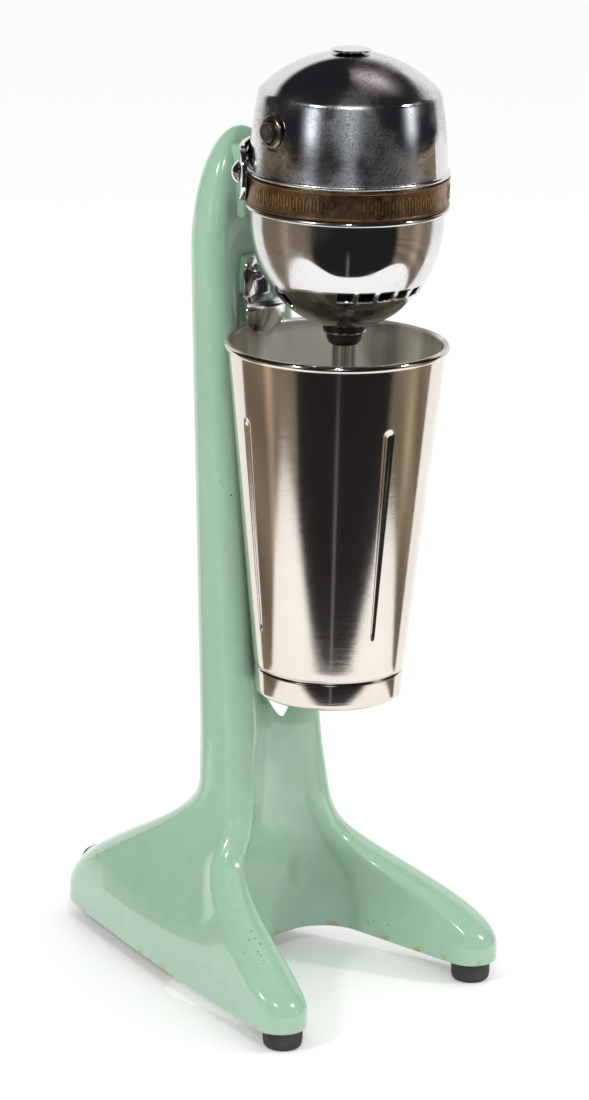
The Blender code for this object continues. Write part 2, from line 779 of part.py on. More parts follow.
def make_motor():
    centre = at(0, HEAD_Y, 0)
    tube("field_core", 24.5, 30.0, 386, 414, LAMINATION, 32, place=centre)
    for name, middle in (("left", 180), ("right", 0)):
        outline = arc((0, 0), 24.2, middle - 55, middle + 55, 8)
        outline += arc((0, 0), 20.3, middle + 55, middle - 55, 8)
        prism(f"field_coil_{name}", outline, 382, 418, COPPER, place=centre)
    tube("upper_bearing", SHAFT_RADIUS + GAP, 9.0, 455 + GAP, 461, STEEL, place=centre)
    tube("lower_bearing", SPINDLE_RADIUS + GAP, 10.4, 347.5, 354, STEEL, place=centre)
    make_bearing_bracket(centre)
    make_brushes(centre)


def make_bearing_bracket(centre):
    """A bar across the upper housing that carries the upper bearing and takes the two housing bolts."""
    outline = arc((0, 0), 13.0, 60, 120, 3) + arc((-32.5, 0), 6.5, 90, 270, 4)
    outline += arc((0, 0), 13.0, 240, 300, 3) + arc((32.5, 0), 6.5, -90, 90, 4)
    _, bolt_y = bolt_place(1)
    turned = []
    for x, y in outline:
        lift = (bolt_y - HEAD_Y) * min(abs(x) / 30.0, 1.0)
        turned.append((x, y + lift))
    bracket = prism("bearing_bracket", turned, 451, 455, STEEL, place=centre)
    cut(bracket, rod("bracket_shaft_hole", SHAFT_RADIUS + 1.0, 445, 460, None, place=centre))
    for side in (-1, 1):
        x, y = bolt_place(side)
        cut(bracket, rod(f"bracket_thread_{side}", 2.4, 445, 460, None, place=at(x, y, 0)))


def make_brushes(centre):
    for name, side in (("left", -1), ("right", 1)):
        near, far = 11.4, 19.0
        xs = sorted((side * near, side * far))
        box(f"brush_{name}", (xs[0], -2.5, 428), (xs[1], 2.5, 432), CARBON, place=centre)
        xs = sorted((side * 13.0, side * 23.0))
        holder = box(f"brush_holder_{name}", (xs[0], -4.5, 425.5), (xs[1], 4.5, 434.5), BRASS, place=centre)
        xs = sorted((side * 12.0, side * 21.0))
        slot = box(f"brush_slot_{name}", (xs[0], -2.8, 427.7), (xs[1], 2.8, 432.3), None, place=centre)
        cut(holder, slot)


def make_rotor():
    """Everything that turns with the motor shaft, down to the two agitators in the cup."""
    carrier = make_empty("rotor_axis", 0, HEAD_Y, 0)
    centre = at(0, HEAD_Y, 0)
    bore = SHAFT_RADIUS + GAP
    rod("motor_shaft", SHAFT_RADIUS, 356.3, 464, STEEL, parent=carrier, place=centre)
    tube("armature_core", bore, 19.0, 386, 414, LAMINATION, 28, parent=carrier, place=centre)
    for name, low in (("lower", 380.5), ("upper", 414 + GAP)):
        profile = [(bore, low), (14, low), (17, low + 1.5), (17, low + 3.7), (15, low + 5.2), (bore, low + 5.2)]
        lathe(f"armature_winding_{name}", profile, COPPER, 24, parent=carrier, place=centre)
    tube("commutator", bore, 11.0, 424, 436, BRASS, 24, parent=carrier, place=centre)
    fan_radii = (bore, 11.0, 30.0)
    make_wavy_disc("cooling_fan", 374.0, fan_radii, 3.0, 8, STEEL, carrier, centre)
    spindle = [
        (0, 180),
        (2.4, 180),
        (2.4, 186),
        (SPINDLE_LOW_RADIUS, 186),
        (SPINDLE_LOW_RADIUS, 296),
        (SPINDLE_RADIUS, 300),
        (SPINDLE_RADIUS, 356),
        (0, 356),
    ]
    lathe("spindle", spindle, CHROME, 24, parent=carrier, place=centre)
    for name, z in zip(("lower", "upper"), AGITATOR_Z):
        radii = (SPINDLE_LOW_RADIUS + GAP, 8.0, 14.0)
        make_wavy_disc(f"agitator_{name}", z, radii, 2.2, 4, STAINLESS, carrier, centre)


def make_wavy_disc(name, z, radii, lift, waves, look, carrier, centre):
    """A pressed disc with a flat hub: its rim rises and falls some times round."""
    segments = 6 * waves
    points = []
    for radius, height in zip(radii, (0.0, 0.0, lift)):
        for side in (-DISC_THICK / 2, DISC_THICK / 2):
            for i in range(segments):
                angle = math.tau * i / segments
                wave = height * math.cos(waves * angle)
                points.append((radius * math.cos(angle), radius * math.sin(angle), z + side + wave))
    rings = [0, 2, 4, 5, 3, 1]
    faces = []
    for a, b in zip(rings, rings[1:] + rings[:1]):
        faces += ring_faces(a * segments, b * segments, segments)
    build_object(name, points, faces, look, parent=carrier, place=centre)


def make_nose_collar():
    bore = SPINDLE_RADIUS + GAP
    collar = [(bore, 335.0), (6.7, 335.0), (7.9, 336.2), (9.2, 340.6), (9.2, 342.3), (10.4, 342.3)]
    collar += [(10.4, 347.0), (bore, 347.0)]
    lathe("nose_collar", collar, PLASTIC, 24, place=at(0, HEAD_Y, 0))
    ring = [(9.6, 340.9), (10.6, 340.9), (11.0, 341.4), (10.6, 341.95), (9.6, 341.95)]
    lathe("nose_ring", ring, CHROME, 24, place=at(0, HEAD_Y, 0))


# ---------------------------------------------------------------- motor bracket


def strap_rings():
    """Sections of the strap round the back of the head, each end with rounded corners."""
    reach = STRAP_SCREW_ANGLE + STRAP_END
    middle = sum(STRAP_Z) / 2
    half = (STRAP_Z[1] - STRAP_Z[0]) / 2
    corner = STRAP_CORNER / STRAP_RADIUS[1]
    stops = [corner * (1 - math.cos(math.pi / 2 * i / 4)) for i in range(5)]
    angles = [-reach + stop for stop in stops]
    angles += [(reach - corner) * t / 6 for t in range(-5, 6)]
    angles += [reach - stop for stop in reversed(stops)]
    rings = []
    for angle in angles:
        inset = max(corner - (reach - abs(angle)), 0.0) / corner
        height = half - STRAP_CORNER * (1 - math.sqrt(max(1 - inset**2, 0.0)))
        x = math.sin(angle)
        y = math.cos(angle)
        ring = []
        for radius, side in ((0, -1), (1, -1), (1, 1), (0, 1)):
            r = STRAP_RADIUS[radius]
            ring.append((r * x, r * y, middle + side * height))
        rings.append(ring)
    return rings


def make_motor_bracket(upper_housing, band):
    bracket = loft("motor_bracket", strap_rings(), CHROME, place=at(0, HEAD_Y, 0))
    block_front = HEAD_Y + STRAP_RADIUS[1] - 2.0
    block = box(
        "bracket_block",
        (-BLOCK_HALF_WIDTH, block_front, SEAT_Z[0] + 1),
        (BLOCK_HALF_WIDTH, SEAT_Y - GAP, SEAT_Z[1] - 1),
        None,
    )
    unite(bracket, block)
    for i, z in enumerate(BRACKET_BOLT_Z):
        cut(bracket, rod(f"block_thread_{i}", 2.8, block_front + 1.5, 0, None, place=along_y(0, 0, z)))
        seat = BOLT_HEAD_Y
        bolt = [(0, -9.4), (2.5, -9.4), (2.5, seat), (4.4, seat), (4.4, seat + 3), (0, seat + 3)]
        name = ("upper", "lower")[1 - i]
        lathe(f"bracket_bolt_{name}", bolt, STEEL, 16, place=along_y(0, 0, z))
    for name, side in (("left", -1), ("right", 1)):
        angle = side * (math.pi - STRAP_SCREW_ANGLE)
        place = outward(angle, 0, STRAP_SCREW_Z)
        seat = STRAP_RADIUS[1] + 0.1
        hole = rod(f"strap_hole_{name}", 2.3, 40, 60, None, 12, place=place)
        for piece in (bracket, upper_housing, band):
            cut(piece, hole)
        screw = [(0, 42.5), (2.0, 42.5), (2.0, seat), (6.0, seat), (6.0, seat + 1.0)]
        screw += [(4.6, seat + 2.6), (2.4, seat + 3.4), (0, seat + 3.6)]
        lathe(f"bracket_screw_{name}", screw, CHROME, place=place)
    return bracket


def main():
    clear_scene()
    make_stand()
    make_base_plate()
    make_feet()
    make_cord_bushing()
    make_cup_rest()
    make_cup_guide()
    make_cup()
    make_lower_housing()
    upper_housing = make_upper_housing()
    band = make_band()
    make_top_plug()
    _, bushing_clearance = make_push_button()
    cut(upper_housing, bushing_clearance)
    make_speed_switch()
    make_housing_bolts()
    make_motor()
    make_rotor()
    make_nose_collar()
    make_motor_bracket(upper_housing, band)


main()
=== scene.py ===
"""Looks of a single-spindle milkshake mixer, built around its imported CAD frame.

Sizes are in millimetres, and make_piece turns each mesh into metres. +Z is up and the front is at -Y.
The stand, housings, cup and small turned pieces are rebuilt finely from the same dimensions as the CAD.
"""

import json
import math

import bmesh
import bpy
from mathutils import Matrix, Vector


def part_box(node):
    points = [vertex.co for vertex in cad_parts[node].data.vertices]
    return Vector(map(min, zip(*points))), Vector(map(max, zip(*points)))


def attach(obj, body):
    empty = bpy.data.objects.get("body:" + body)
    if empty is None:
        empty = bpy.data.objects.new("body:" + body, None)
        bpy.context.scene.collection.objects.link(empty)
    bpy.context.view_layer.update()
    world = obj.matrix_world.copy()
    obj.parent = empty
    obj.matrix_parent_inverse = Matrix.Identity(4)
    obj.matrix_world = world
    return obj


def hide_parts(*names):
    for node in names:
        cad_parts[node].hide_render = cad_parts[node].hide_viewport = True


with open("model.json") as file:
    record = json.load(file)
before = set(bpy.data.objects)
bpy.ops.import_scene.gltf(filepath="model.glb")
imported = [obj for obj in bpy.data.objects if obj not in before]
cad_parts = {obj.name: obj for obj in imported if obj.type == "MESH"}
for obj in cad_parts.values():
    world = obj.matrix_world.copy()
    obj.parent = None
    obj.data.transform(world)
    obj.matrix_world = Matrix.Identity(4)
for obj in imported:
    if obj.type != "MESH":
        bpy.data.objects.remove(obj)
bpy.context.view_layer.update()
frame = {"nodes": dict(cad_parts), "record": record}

MM = 0.001


def middle(node):
    low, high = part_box(node)
    return (low + high) / 2 / MM


HEAD_Y = middle("motor_shaft").y
CUP_Y = middle("mixing_cup").y
CUP_FLOOR_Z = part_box("mixing_cup")[0].z / MM
TOP_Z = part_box("top_plug")[1].z / MM

# Stand
SKIRT_Z = 10.0
COLUMN_LOW_Z = 130.0
COLUMN_HALF_WIDTH = 32.0
COLUMN_TAPER = 0.0171
COLUMN_FRONT_Y = -27.9
COLUMN_FRONT_LEAN = 0.108
COLUMN_REAR_Y = 6.6
COLUMN_REAR_LEAN = 0.068
COLUMN_REAR_CORNER = 14.0
COLUMN_FRONT_CORNER = 9.0
HOLLOW_FRONT = 8.0
HOLLOW_FRONT_END = (345.0, 385.0)
DOME_Z = 372.0
DOME_HEIGHT = 59.0
HEEL_RADIUS = 28.0
HEEL_Y = 85.6
TOE_RADIUS = 13.5
TOE_X = 69.0
TOE_Y = -96.9
SIDE_BOW = 2.5
LEG_INNER_X = 54.0
NOTCH_CORNER = 22.0
NOTCH_CENTRE = (LEG_INNER_X - NOTCH_CORNER, -30.4)
HEEL_RISE = (18.0, 104.0)
LEG_RISE_X = (23.0, 92.0)
LEG_RISE_Y = (18.0, 74.0)
LEG_FLARE = 0.1
FLARE_RISE = (60.0, 140.0)
SKIRT_LIP = 4.2
LIP_HEIGHT = 6.0
EDGE_ROUND = 1.4
EDGE_STEPS = 4

# Lugs on the stand: low and high corners of the square ones, and the middle of each round one's face
BRACKET_SEAT = ((-12.0, -5.1, 388.0), (12.0, 5.6, 424.0))
GUIDE_BOSS = ((-8.5, -2.1, 349.0), (8.5, 5.6, 369.0))
REST_PAD_FACE = (0.0, -24.5, 147.0)
REST_PAD_RADIUS = 6.5
CORD_FACE = (0.0, 107.6, 25.0)
CORD_BOSS_RADIUS = 9.5
CORD_BORE = 3.6
LUG_DEPTH = 12.0

# Stations round half the stand's outline, each split into DETAIL parts
HEEL_STEPS, SIDE_STEPS, TOE_STEPS = 4, 4, 5
INNER_STEPS, CORNER_STEPS, BACK_STEPS = 2, 3, 2
DETAIL = 5

# Heights of the stand's rings: close through the base, wider up the column, then round the dome
LEVEL_STEP = 2.5
BASE_TOP_Z = 145.0
COLUMN_RINGS_Z = 150.0
COLUMN_STEP = 15.0
COLUMN_RINGS = 15
DOME_RINGS = 28

# Head: band, bowl, cap, vents, bolts, button and the strap round its back
BAND_Z = (404.3, 418.8)
BAND_RADIUS = 49.1
BELT_RADIUS = 47.5
BELT_GAP = 0.3
BEAD_RADIUS = 1.2
BEAD_OUT = 0.5
BEAD_GAP = 0.2
BEAD_TURN = 88.0
BAND_BORDER = 0.9
BAND_SINK = 0.35
ORNAMENT_CENTRES = (-84.0, -14.0, 56.0)
ORNAMENT_REACH = 11
ORNAMENT_PITCH = 2.1
BAR_HALF_WIDTH = 0.55
BAR_HALF_HEIGHTS = (3.4, 2.0)
BOWL_RADIUS = 46.9
BOWL_DEPTH = 55.0
BOWL_Z = 398.0
NOSE_BORE = 11.0
CAP_WALL_Z = (421.5, 455.0)
CAP_WALL_RADIUS = (47.9, 44.5)
SHOULDER = (41.5, 460.8)
CROWN_Z = 477.5
SHEET = 1.6
VENT_COUNT = 7
VENT_PITCH = math.radians(15.5)
VENT_SIZE = (7.6, 4.0)
VENT_Z = 365.5
VENT_RING = 38.7
BOLT_RING = 33.0
BOLT_ANGLE = math.radians(105.0)
RECESS_RADIUS = 5.0
RECESS_Z = (330.0, 372.0)
BUTTON_Z = 443.0
BUTTON_ANGLE = math.radians(98.0)
BUTTON_RADIUS = 4.9
BUTTON_FACE = 45.9
BUSHING_RADIUS = 7.75
BUTTON_HOLE = ((0, 36), (6.1, 36), (6.1, 46.1), (8.05, 46.1), (8.05, 56), (0, 56))
STRAP_RADIUS = (49.8, 52.2)
STRAP_Z = (404.5, 431.5)
STRAP_CORNER = 12.5
STRAP_SCREW_ANGLE = math.radians(44.0)
STRAP_SCREW_Z = 418.0
STRAP_END = math.radians(15.0)
STRAP_EDGE = 0.4
STRAP_END_STEPS = 12
STRAP_STEPS = 24
STRAP_BLOCK_HALF = 11.0
STRAP_BLOCK_Y = -5.4
STRAP_BLOCK_Z = (389.0, 423.0)

# Guide: a plate with a joggle, and the tongue below it
GUIDE_BACK = -2.4
GUIDE_JOGGLE = 6.7
GUIDE_HEAD_RISE = 0.4
GUIDE_THICK = 1.6
GUIDE_TOP_RADIUS = 9.0
GUIDE_TOP_Z = 360.5
GUIDE_BEND_Z = (350.0, 343.5)
TONGUE_RADIUS = 13.5
TONGUE_DEPTH = 13.0
TONGUE_Z = 343.0

# Rest: a tapering tongue and the shelf under the cup
REST_BACK = -24.8
REST_Z = (137.2, 157.0)
REST_HALF = 9.5
REST_BULGE = 1.2
REST_THICK = 1.6
SHELF_Z = (156.3, 157.9)
SHELF_OUTLINE = ((-9, -20.6), (-9, -36), (-6, -40), (6, -40), (9, -36), (9, -20.6))

# Cup
CUP_HEIGHT = 177.0
CUP_FOOT_RADIUS = 36.5
CUP_BAND_TOP = 14.5
CUP_RIM_RADIUS = 53.3
CUP_SHEET = 0.9
RIM_BEAD = 1.75
BEAD_STEPS = 14
FLUTE_ANGLES = [math.radians(a) for a in (-105.0, -15.0, 75.0, 165.0)]
FLUTE_Z = (36.5, 143.5)
FLUTE_WIDTH = (1.5, 3.0)
FLUTE_DEPTH = 1.3
FLUTE_WALL_RADIUS = 45.0
FLUTED_WALL_Z = (20.0, 150.0)

# Camera: azimuth from the front towards +X, roll, and a long lens
CAMERA_TARGET = Vector((0.0, -0.0334, 0.2247))
CAMERA_PLACE = Vector((-1.6014, -1.5743, 0.8518))
CAMERA_ROLL = 0.0226
FOCAL_PIXELS = 4673.0
PICTURE_HEIGHT = 1100.0
SENSOR = 36.0
CAMERA_AZIMUTH = math.radians(-46.1)

# Floor, and the room that shiny metal mirrors
FLOOR_SIZE = 12000.0
ROOM_REACH = 5000.0
LIGHT_DISTANCE = 2400.0
LIGHT_AIM_Z = 220.0

# Facets round the head, and round smaller turned pieces
HEAD_SEGMENTS = 144
SMALL_SEGMENTS = 48

# Radius of a turned piece's point on its axis, just off it so that its faces stay whole
AXIS = 0.01


# ---------------------------------------------------------------- numbers and outlines


def mix(a, b, t):
    return a + (b - a) * t


def smoothstep(low, high, value):
    t = min(max((value - low) / (high - low), 0.0), 1.0)
    return t * t * (3 - 2 * t)


def arc(centre, radius, start, end, steps):
    """Points on an arc, both ends included. Angles are in degrees."""
    points = []
    for i in range(steps + 1):
        angle = math.radians(start + (end - start) * i / steps)
        points.append((centre[0] + radius * math.cos(angle), centre[1] + radius * math.sin(angle)))
    return points


def rounded(corners, steps=4):
    """A smooth line through (r, z, fillet) corners, each rounded by a curve that starts fillet away."""
    points = []
    for i, (r, z, fillet) in enumerate(corners):
        here = Vector((r, z))
        if fillet == 0 or i in (0, len(corners) - 1):
            points.append((r, z))
            continue
        before = Vector(corners[i - 1][:2]) - here
        after = Vector(corners[i + 1][:2]) - here
        start = here + before.normalized() * min(fillet, before.length * 0.48)
        end = here + after.normalized() * min(fillet, after.length * 0.48)
        for step in range(steps + 1):
            t = step / steps
            point = start * (1 - t) ** 2 + here * 2 * t * (1 - t) + end * t**2
            points.append((point.x, point.y))
    return points


def along_y(x, y, z):
    """A place whose local Z points to the rear, +Y."""
    return Matrix.Translation((x, y, z)) @ Matrix.Rotation(math.radians(-90), 4, "X")


def outward(angle, radius, z):
    """A place on the head, angle from the front towards +X, with local Z pointing out from its axis."""
    x = math.sin(angle)
    y = -math.cos(angle)
    turn = Vector((x, y, 0)).to_track_quat("Z", "Y").to_matrix().to_4x4()
    return Matrix.Translation((radius * x, HEAD_Y + radius * y, z)) @ turn


HEAD_AXIS = Matrix.Translation((0, HEAD_Y, 0))


# ---------------------------------------------------------------- mesh helpers


def make_piece(name, points, faces, material, place=None, sharp=35.0):
    place = place or Matrix.Identity(4)
    mesh = bpy.data.meshes.new(name)
    mesh.from_pydata([place @ Vector(point) * MM for point in points], [], faces)
    shape = bmesh.new()
    shape.from_mesh(mesh)
    bmesh.ops.remove_doubles(shape, verts=shape.verts[:], dist=1e-6)
    bmesh.ops.recalc_face_normals(shape, faces=shape.faces[:])
    shape.to_mesh(mesh)
    shape.free()
    mesh.shade_smooth()
    mesh.set_sharp_from_angle(angle=math.radians(sharp))
    obj = bpy.data.objects.new(name, mesh)
    bpy.context.scene.collection.objects.link(obj)
    if material:
        mesh.materials.append(material)
    return obj


def stitch(rings, closed_loop=False):
    """Points and quads through rings of equally many points; each ring is closed."""
    count = len(rings[0])
    points = [point for ring in rings for point in ring]
    faces = []
    last = len(rings) if closed_loop else len(rings) - 1
    for level in range(last):
        a = level * count
        b = (level + 1) % len(rings) * count
        for i in range(count):
            j = (i + 1) % count
            faces.append((a + i, a + j, b + j, b + i))
    return points, faces


def turned(name, profile, material, place=HEAD_AXIS, segments=SMALL_SEGMENTS, closed=False, sharp=35.0):
    """A piece turned from (radius, z) points."""
    rings = []
    for radius, z in profile:
        ring = []
        for i in range(segments):
            angle = math.tau * i / segments
            ring.append((radius * math.cos(angle), radius * math.sin(angle), z))
        rings.append(ring)
    points, faces = stitch(rings, closed)
    return make_piece(name, points, faces, material, place, sharp)


def lofted(name, rings, material, place=None, sharp=35.0):
    """A closed piece through rings, capped at both ends."""
    points, faces = stitch(rings)
    count = len(rings[0])
    faces.append(tuple(range(count)))
    faces.append(tuple(range(len(points) - count, len(points))))
    return make_piece(name, points, faces, material, place, sharp)


def block(name, low, high, material, place=None):
    ring = [(low[0], low[1]), (high[0], low[1]), (high[0], high[1]), (low[0], high[1])]
    rings = [[(x, y, z) for x, y in ring] for z in (low[2], high[2])]
    return lofted(name, rings, material, place)


def soften(obj, width, segments=3):
    bevel = obj.modifiers.new("soft_edges", "BEVEL")
    bevel.width = width * MM
    bevel.segments = segments
    bevel.angle_limit = math.radians(35)
    return obj


def drill(obj, cutter):
    modifier = obj.modifiers.new(cutter.name, "BOOLEAN")
    modifier.operation = "DIFFERENCE"
    modifier.object = cutter
    modifier.solver = "EXACT"


def bake_modifiers(obj, cutters=()):
    """Applies the modifiers, so that the cutters can go."""
    graph = bpy.context.evaluated_depsgraph_get()
    mesh = bpy.data.meshes.new_from_object(obj.evaluated_get(graph), depsgraph=graph)
    obj.modifiers.clear()
    obj.data = mesh
    for cutter in cutters:
        bpy.data.objects.remove(cutter, do_unlink=True)
    return obj


def settle(obj, body="stand", replaces=()):
    """Rides the piece on its body and hides the CAD nodes that it stands for."""
    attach(obj, body)
    if replaces:
        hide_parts(*replaces)
    return obj


# ---------------------------------------------------------------- material helpers


class Nodes:
    """Short calls for building one material's node tree."""

    def __init__(self, name):
        self.material = bpy.data.materials.new(name)
        self.material.use_nodes = True
        self.tree = self.material.node_tree
        self.shader = self.tree.nodes["Principled BSDF"]
        self.coordinates = self.tree.nodes.new("ShaderNodeTexCoord").outputs["Object"]

    def set(self, **values):
        for name, value in values.items():
            self.shader.inputs[name.replace("_", " ")].default_value = value

    def link(self, source, target):
        self.tree.links.new(source, target)

    def stretched(self, x, y, z):
        node = self.tree.nodes.new("ShaderNodeMapping")
        node.inputs["Scale"].default_value = (x, y, z)
        self.link(self.coordinates, node.inputs["Vector"])
        return node.outputs["Vector"]

    def noise(self, scale, detail=3.0, vector=None, roughness=0.5):
        node = self.tree.nodes.new("ShaderNodeTexNoise")
        node.inputs["Scale"].default_value = scale
        node.inputs["Detail"].default_value = detail
        node.inputs["Roughness"].default_value = roughness
        self.link(vector or self.coordinates, node.inputs["Vector"])
        return node.outputs["Fac"]

    def spots(self, scale, randomness=1.0):
        """Distance to the nearest of scattered points."""
        node = self.tree.nodes.new("ShaderNodeTexVoronoi")
        node.inputs["Scale"].default_value = scale
        node.inputs["Randomness"].default_value = randomness
        self.link(self.coordinates, node.inputs["Vector"])
        return node.outputs["Distance"]

    def remap(self, value, low, high, to_low=0.0, to_high=1.0):
        node = self.tree.nodes.new("ShaderNodeMapRange")
        for name, number in (("From Min", low), ("From Max", high), ("To Min", to_low), ("To Max", to_high)):
            node.inputs[name].default_value = number
        self.link(value, node.inputs["Value"])
        return node.outputs["Result"]

    def math(self, operation, a, b):
        node = self.tree.nodes.new("ShaderNodeMath")
        node.operation = operation
        for socket, value in zip(node.inputs, (a, b)):
            if isinstance(value, (int, float)):
                socket.default_value = value
            else:
                self.link(value, socket)
        return node.outputs[0]

    def blend(self, factor, a, b):
        node = self.tree.nodes.new("ShaderNodeMix")
        node.data_type = "RGBA"
        self.link(factor, node.inputs["Factor"])
        for socket, value in ((node.inputs[6], a), (node.inputs[7], b)):
            if isinstance(value, tuple):
                socket.default_value = (*value, 1.0)
            else:
                self.link(value, socket)
        return node.outputs[2]

    def height(self):
        """The Z coordinate of the surface, in metres."""
        node = self.tree.nodes.new("ShaderNodeSeparateXYZ")
        self.link(self.coordinates, node.inputs[0])
        return node.outputs["Z"]

    def colour(self, source):
        self.link(source, self.shader.inputs["Base Color"])

    def roughness(self, source):
        self.link(source, self.shader.inputs["Roughness"])

    def bump(self, source, strength, distance):
        node = self.tree.nodes.new("ShaderNodeBump")
        node.inputs["Strength"].default_value = strength
        node.inputs["Distance"].default_value = distance
        self.link(source, node.inputs["Height"])
        self.link(node.outputs["Normal"], self.shader.inputs["Normal"])


def enamel():
    """Glossy jadeite green: faint mottling, a few dark chips, and a rust stain at the bottom edges."""
    n = Nodes("green_enamel")
    n.set(Coat_Weight=0.6, Coat_Roughness=0.04)
    cloud = n.blend(n.remap(n.noise(9.0), 0.35, 0.65), (0.278, 0.438, 0.318), (0.300, 0.468, 0.340))
    fine = n.blend(n.remap(n.noise(160.0), 0.3, 0.7), (0.95, 0.95, 0.95), (1.0, 1.0, 1.0))
    tint = n.tree.nodes.new("ShaderNodeMix")
    tint.data_type = "RGBA"
    tint.blend_type = "MULTIPLY"
    tint.inputs["Factor"].default_value = 1.0
    n.link(cloud, tint.inputs[6])
    n.link(fine, tint.inputs[7])
    patch = n.remap(n.noise(23.0, 2.0), 0.66, 0.70)
    chips = n.math("MULTIPLY", n.remap(n.spots(330.0), 0.20, 0.12), patch)
    chipped = n.blend(chips, tint.outputs[2], (0.06, 0.05, 0.035))
    low = n.remap(n.height(), 0.0145, 0.0105)
    ragged = n.remap(n.noise(90.0, 4.0), 0.54, 0.66)
    stained = n.blend(n.math("MULTIPLY", low, ragged), chipped, (0.30, 0.22, 0.05))
    n.colour(stained)
    n.roughness(n.remap(n.noise(40.0), 0.3, 0.7, 0.13, 0.22))
    n.bump(n.noise(70.0, 2.0), 0.04, 0.0006)
    return n.material


def chrome(name, wear, tone=(0.86, 0.85, 0.84)):
    """Polished chrome. wear spreads pitting and a satin haze over it, from 0 to 1."""
    n = Nodes(name)
    n.set(Metallic=1.0)
    grain = n.noise(900.0, 6.0, roughness=0.7)
    patch = n.remap(n.noise(26.0, 4.0), 0.40, 0.62)
    pits = n.math("MULTIPLY", n.remap(grain, 0.56, 0.64), patch)
    pits = n.math("MULTIPLY", pits, wear)
    n.colour(n.blend(pits, tone, (0.13, 0.12, 0.12)))
    haze = n.remap(n.math("MULTIPLY", grain, patch), 0.1, 0.6, 0.06, 0.07 + 0.32 * wear)
    n.roughness(haze)
    n.bump(n.math("MULTIPLY", n.noise(420.0, 5.0), patch), 0.12 * wear + 0.01, 0.0004)
    return n.material


def stainless_outside():
    """Polished steel with fine rings of brushing round the cup's axis."""
    n = Nodes("cup_outside")
    n.set(Metallic=1.0)
    rings = n.noise(60.0, 4.0, n.stretched(1.0, 1.0, 60.0))
    smear = n.noise(14.0, 3.0)
    n.colour(n.blend(n.remap(smear, 0.35, 0.7), (0.75, 0.69, 0.63), (0.70, 0.64, 0.58)))
    n.roughness(n.remap(rings, 0.3, 0.7, 0.07, 0.14))
    n.bump(rings, 0.05, 0.0002)
    return n.material


def stainless_inside():
    """Satin steel with a painted reflection: upright bands in its colour, dark ones between bright ones,
    stand in for the studio mirrored in the wall.
    """
    n = Nodes("cup_inside")
    n.set(Metallic=0.65)
    painted_reflection_streaks = n.noise(42.0, 2.0, n.stretched(1.0, 1.0, 0.02))
    # Painted reflection: the dark and bright upright bands in the colour stand in for the room mirrored in
    # the wall, and the near-white bright tone adds painted light.
    n.colour(n.blend(n.remap(painted_reflection_streaks, 0.44, 0.60), (0.42, 0.38, 0.31), (1.0, 0.96, 0.87)))
    n.roughness(n.remap(painted_reflection_streaks, 0.3, 0.7, 0.16, 0.26))
    n.bump(n.noise(60.0, 4.0, n.stretched(1.0, 1.0, 60.0)), 0.03, 0.0002)
    return n.material


def aged_brass(name, dark, light):
    n = Nodes(name)
    n.set(Metallic=1.0)
    patina = n.remap(n.noise(120.0, 6.0, roughness=0.65), 0.38, 0.62)
    n.colour(n.blend(patina, dark, light))
    n.roughness(n.remap(n.noise(300.0, 4.0), 0.3, 0.7, 0.28, 0.5))
    n.bump(n.noise(600.0, 4.0), 0.15, 0.0003)
    return n.material


def dull_metal(name, dark, light, rough):
    n = Nodes(name)
    n.set(Metallic=1.0)
    n.colour(n.blend(n.remap(n.noise(150.0, 5.0), 0.35, 0.65), dark, light))
    n.roughness(n.remap(n.noise(260.0), 0.3, 0.7, rough * 0.8, rough * 1.3))
    n.bump(n.noise(700.0), 0.08, 0.0003)
    return n.material


def moulded(name, colour, rough, bump):
    """Rubber or plastic with a fine moulded texture and a little dust."""
    n = Nodes(name)
    dusty = tuple(c + 0.03 for c in colour)
    n.colour(n.blend(n.remap(n.noise(110.0, 5.0), 0.45, 0.75), colour, dusty))
    n.roughness(n.remap(n.noise(220.0), 0.3, 0.7, rough * 0.85, rough * 1.2))
    n.bump(n.noise(900.0, 2.0), bump, 0.0003)
    return n.material


def wound_copper(name):
    """Varnished turns of wire."""
    n = Nodes(name)
    n.set(Metallic=0.8)
    wave = n.tree.nodes.new("ShaderNodeTexWave")
    wave.inputs["Scale"].default_value = 320.0
    wave.inputs["Distortion"].default_value = 1.5
    n.link(n.coordinates, wave.inputs["Vector"])
    n.colour(n.blend(wave.outputs["Fac"], (0.22, 0.07, 0.02), (0.62, 0.27, 0.10)))
    n.roughness(n.remap(wave.outputs["Fac"], 0.0, 1.0, 0.5, 0.28))
    n.bump(wave.outputs["Fac"], 0.5, 0.0005)
    return n.material


def stacked_plates(name):
    """Core plates seen from their edges."""
    n = Nodes(name)
    n.set(Metallic=1.0)
    wave = n.tree.nodes.new("ShaderNodeTexWave")
    wave.bands_direction = "Z"
    wave.inputs["Scale"].default_value = 400.0
    n.link(n.coordinates, wave.inputs["Vector"])
    n.colour(n.blend(wave.outputs["Fac"], (0.10, 0.10, 0.11), (0.30, 0.30, 0.32)))
    n.roughness(n.remap(n.noise(200.0), 0.3, 0.7, 0.4, 0.6))
    n.bump(wave.outputs["Fac"], 0.3, 0.0003)
    return n.material


ENAMEL = enamel()
WORN_CHROME = chrome("worn_chrome", 1.0, (0.80, 0.80, 0.81))
BOWL_CHROME = chrome("bowl_chrome", 0.5, (0.70, 0.69, 0.69))
CHROME = chrome("chrome", 0.12)
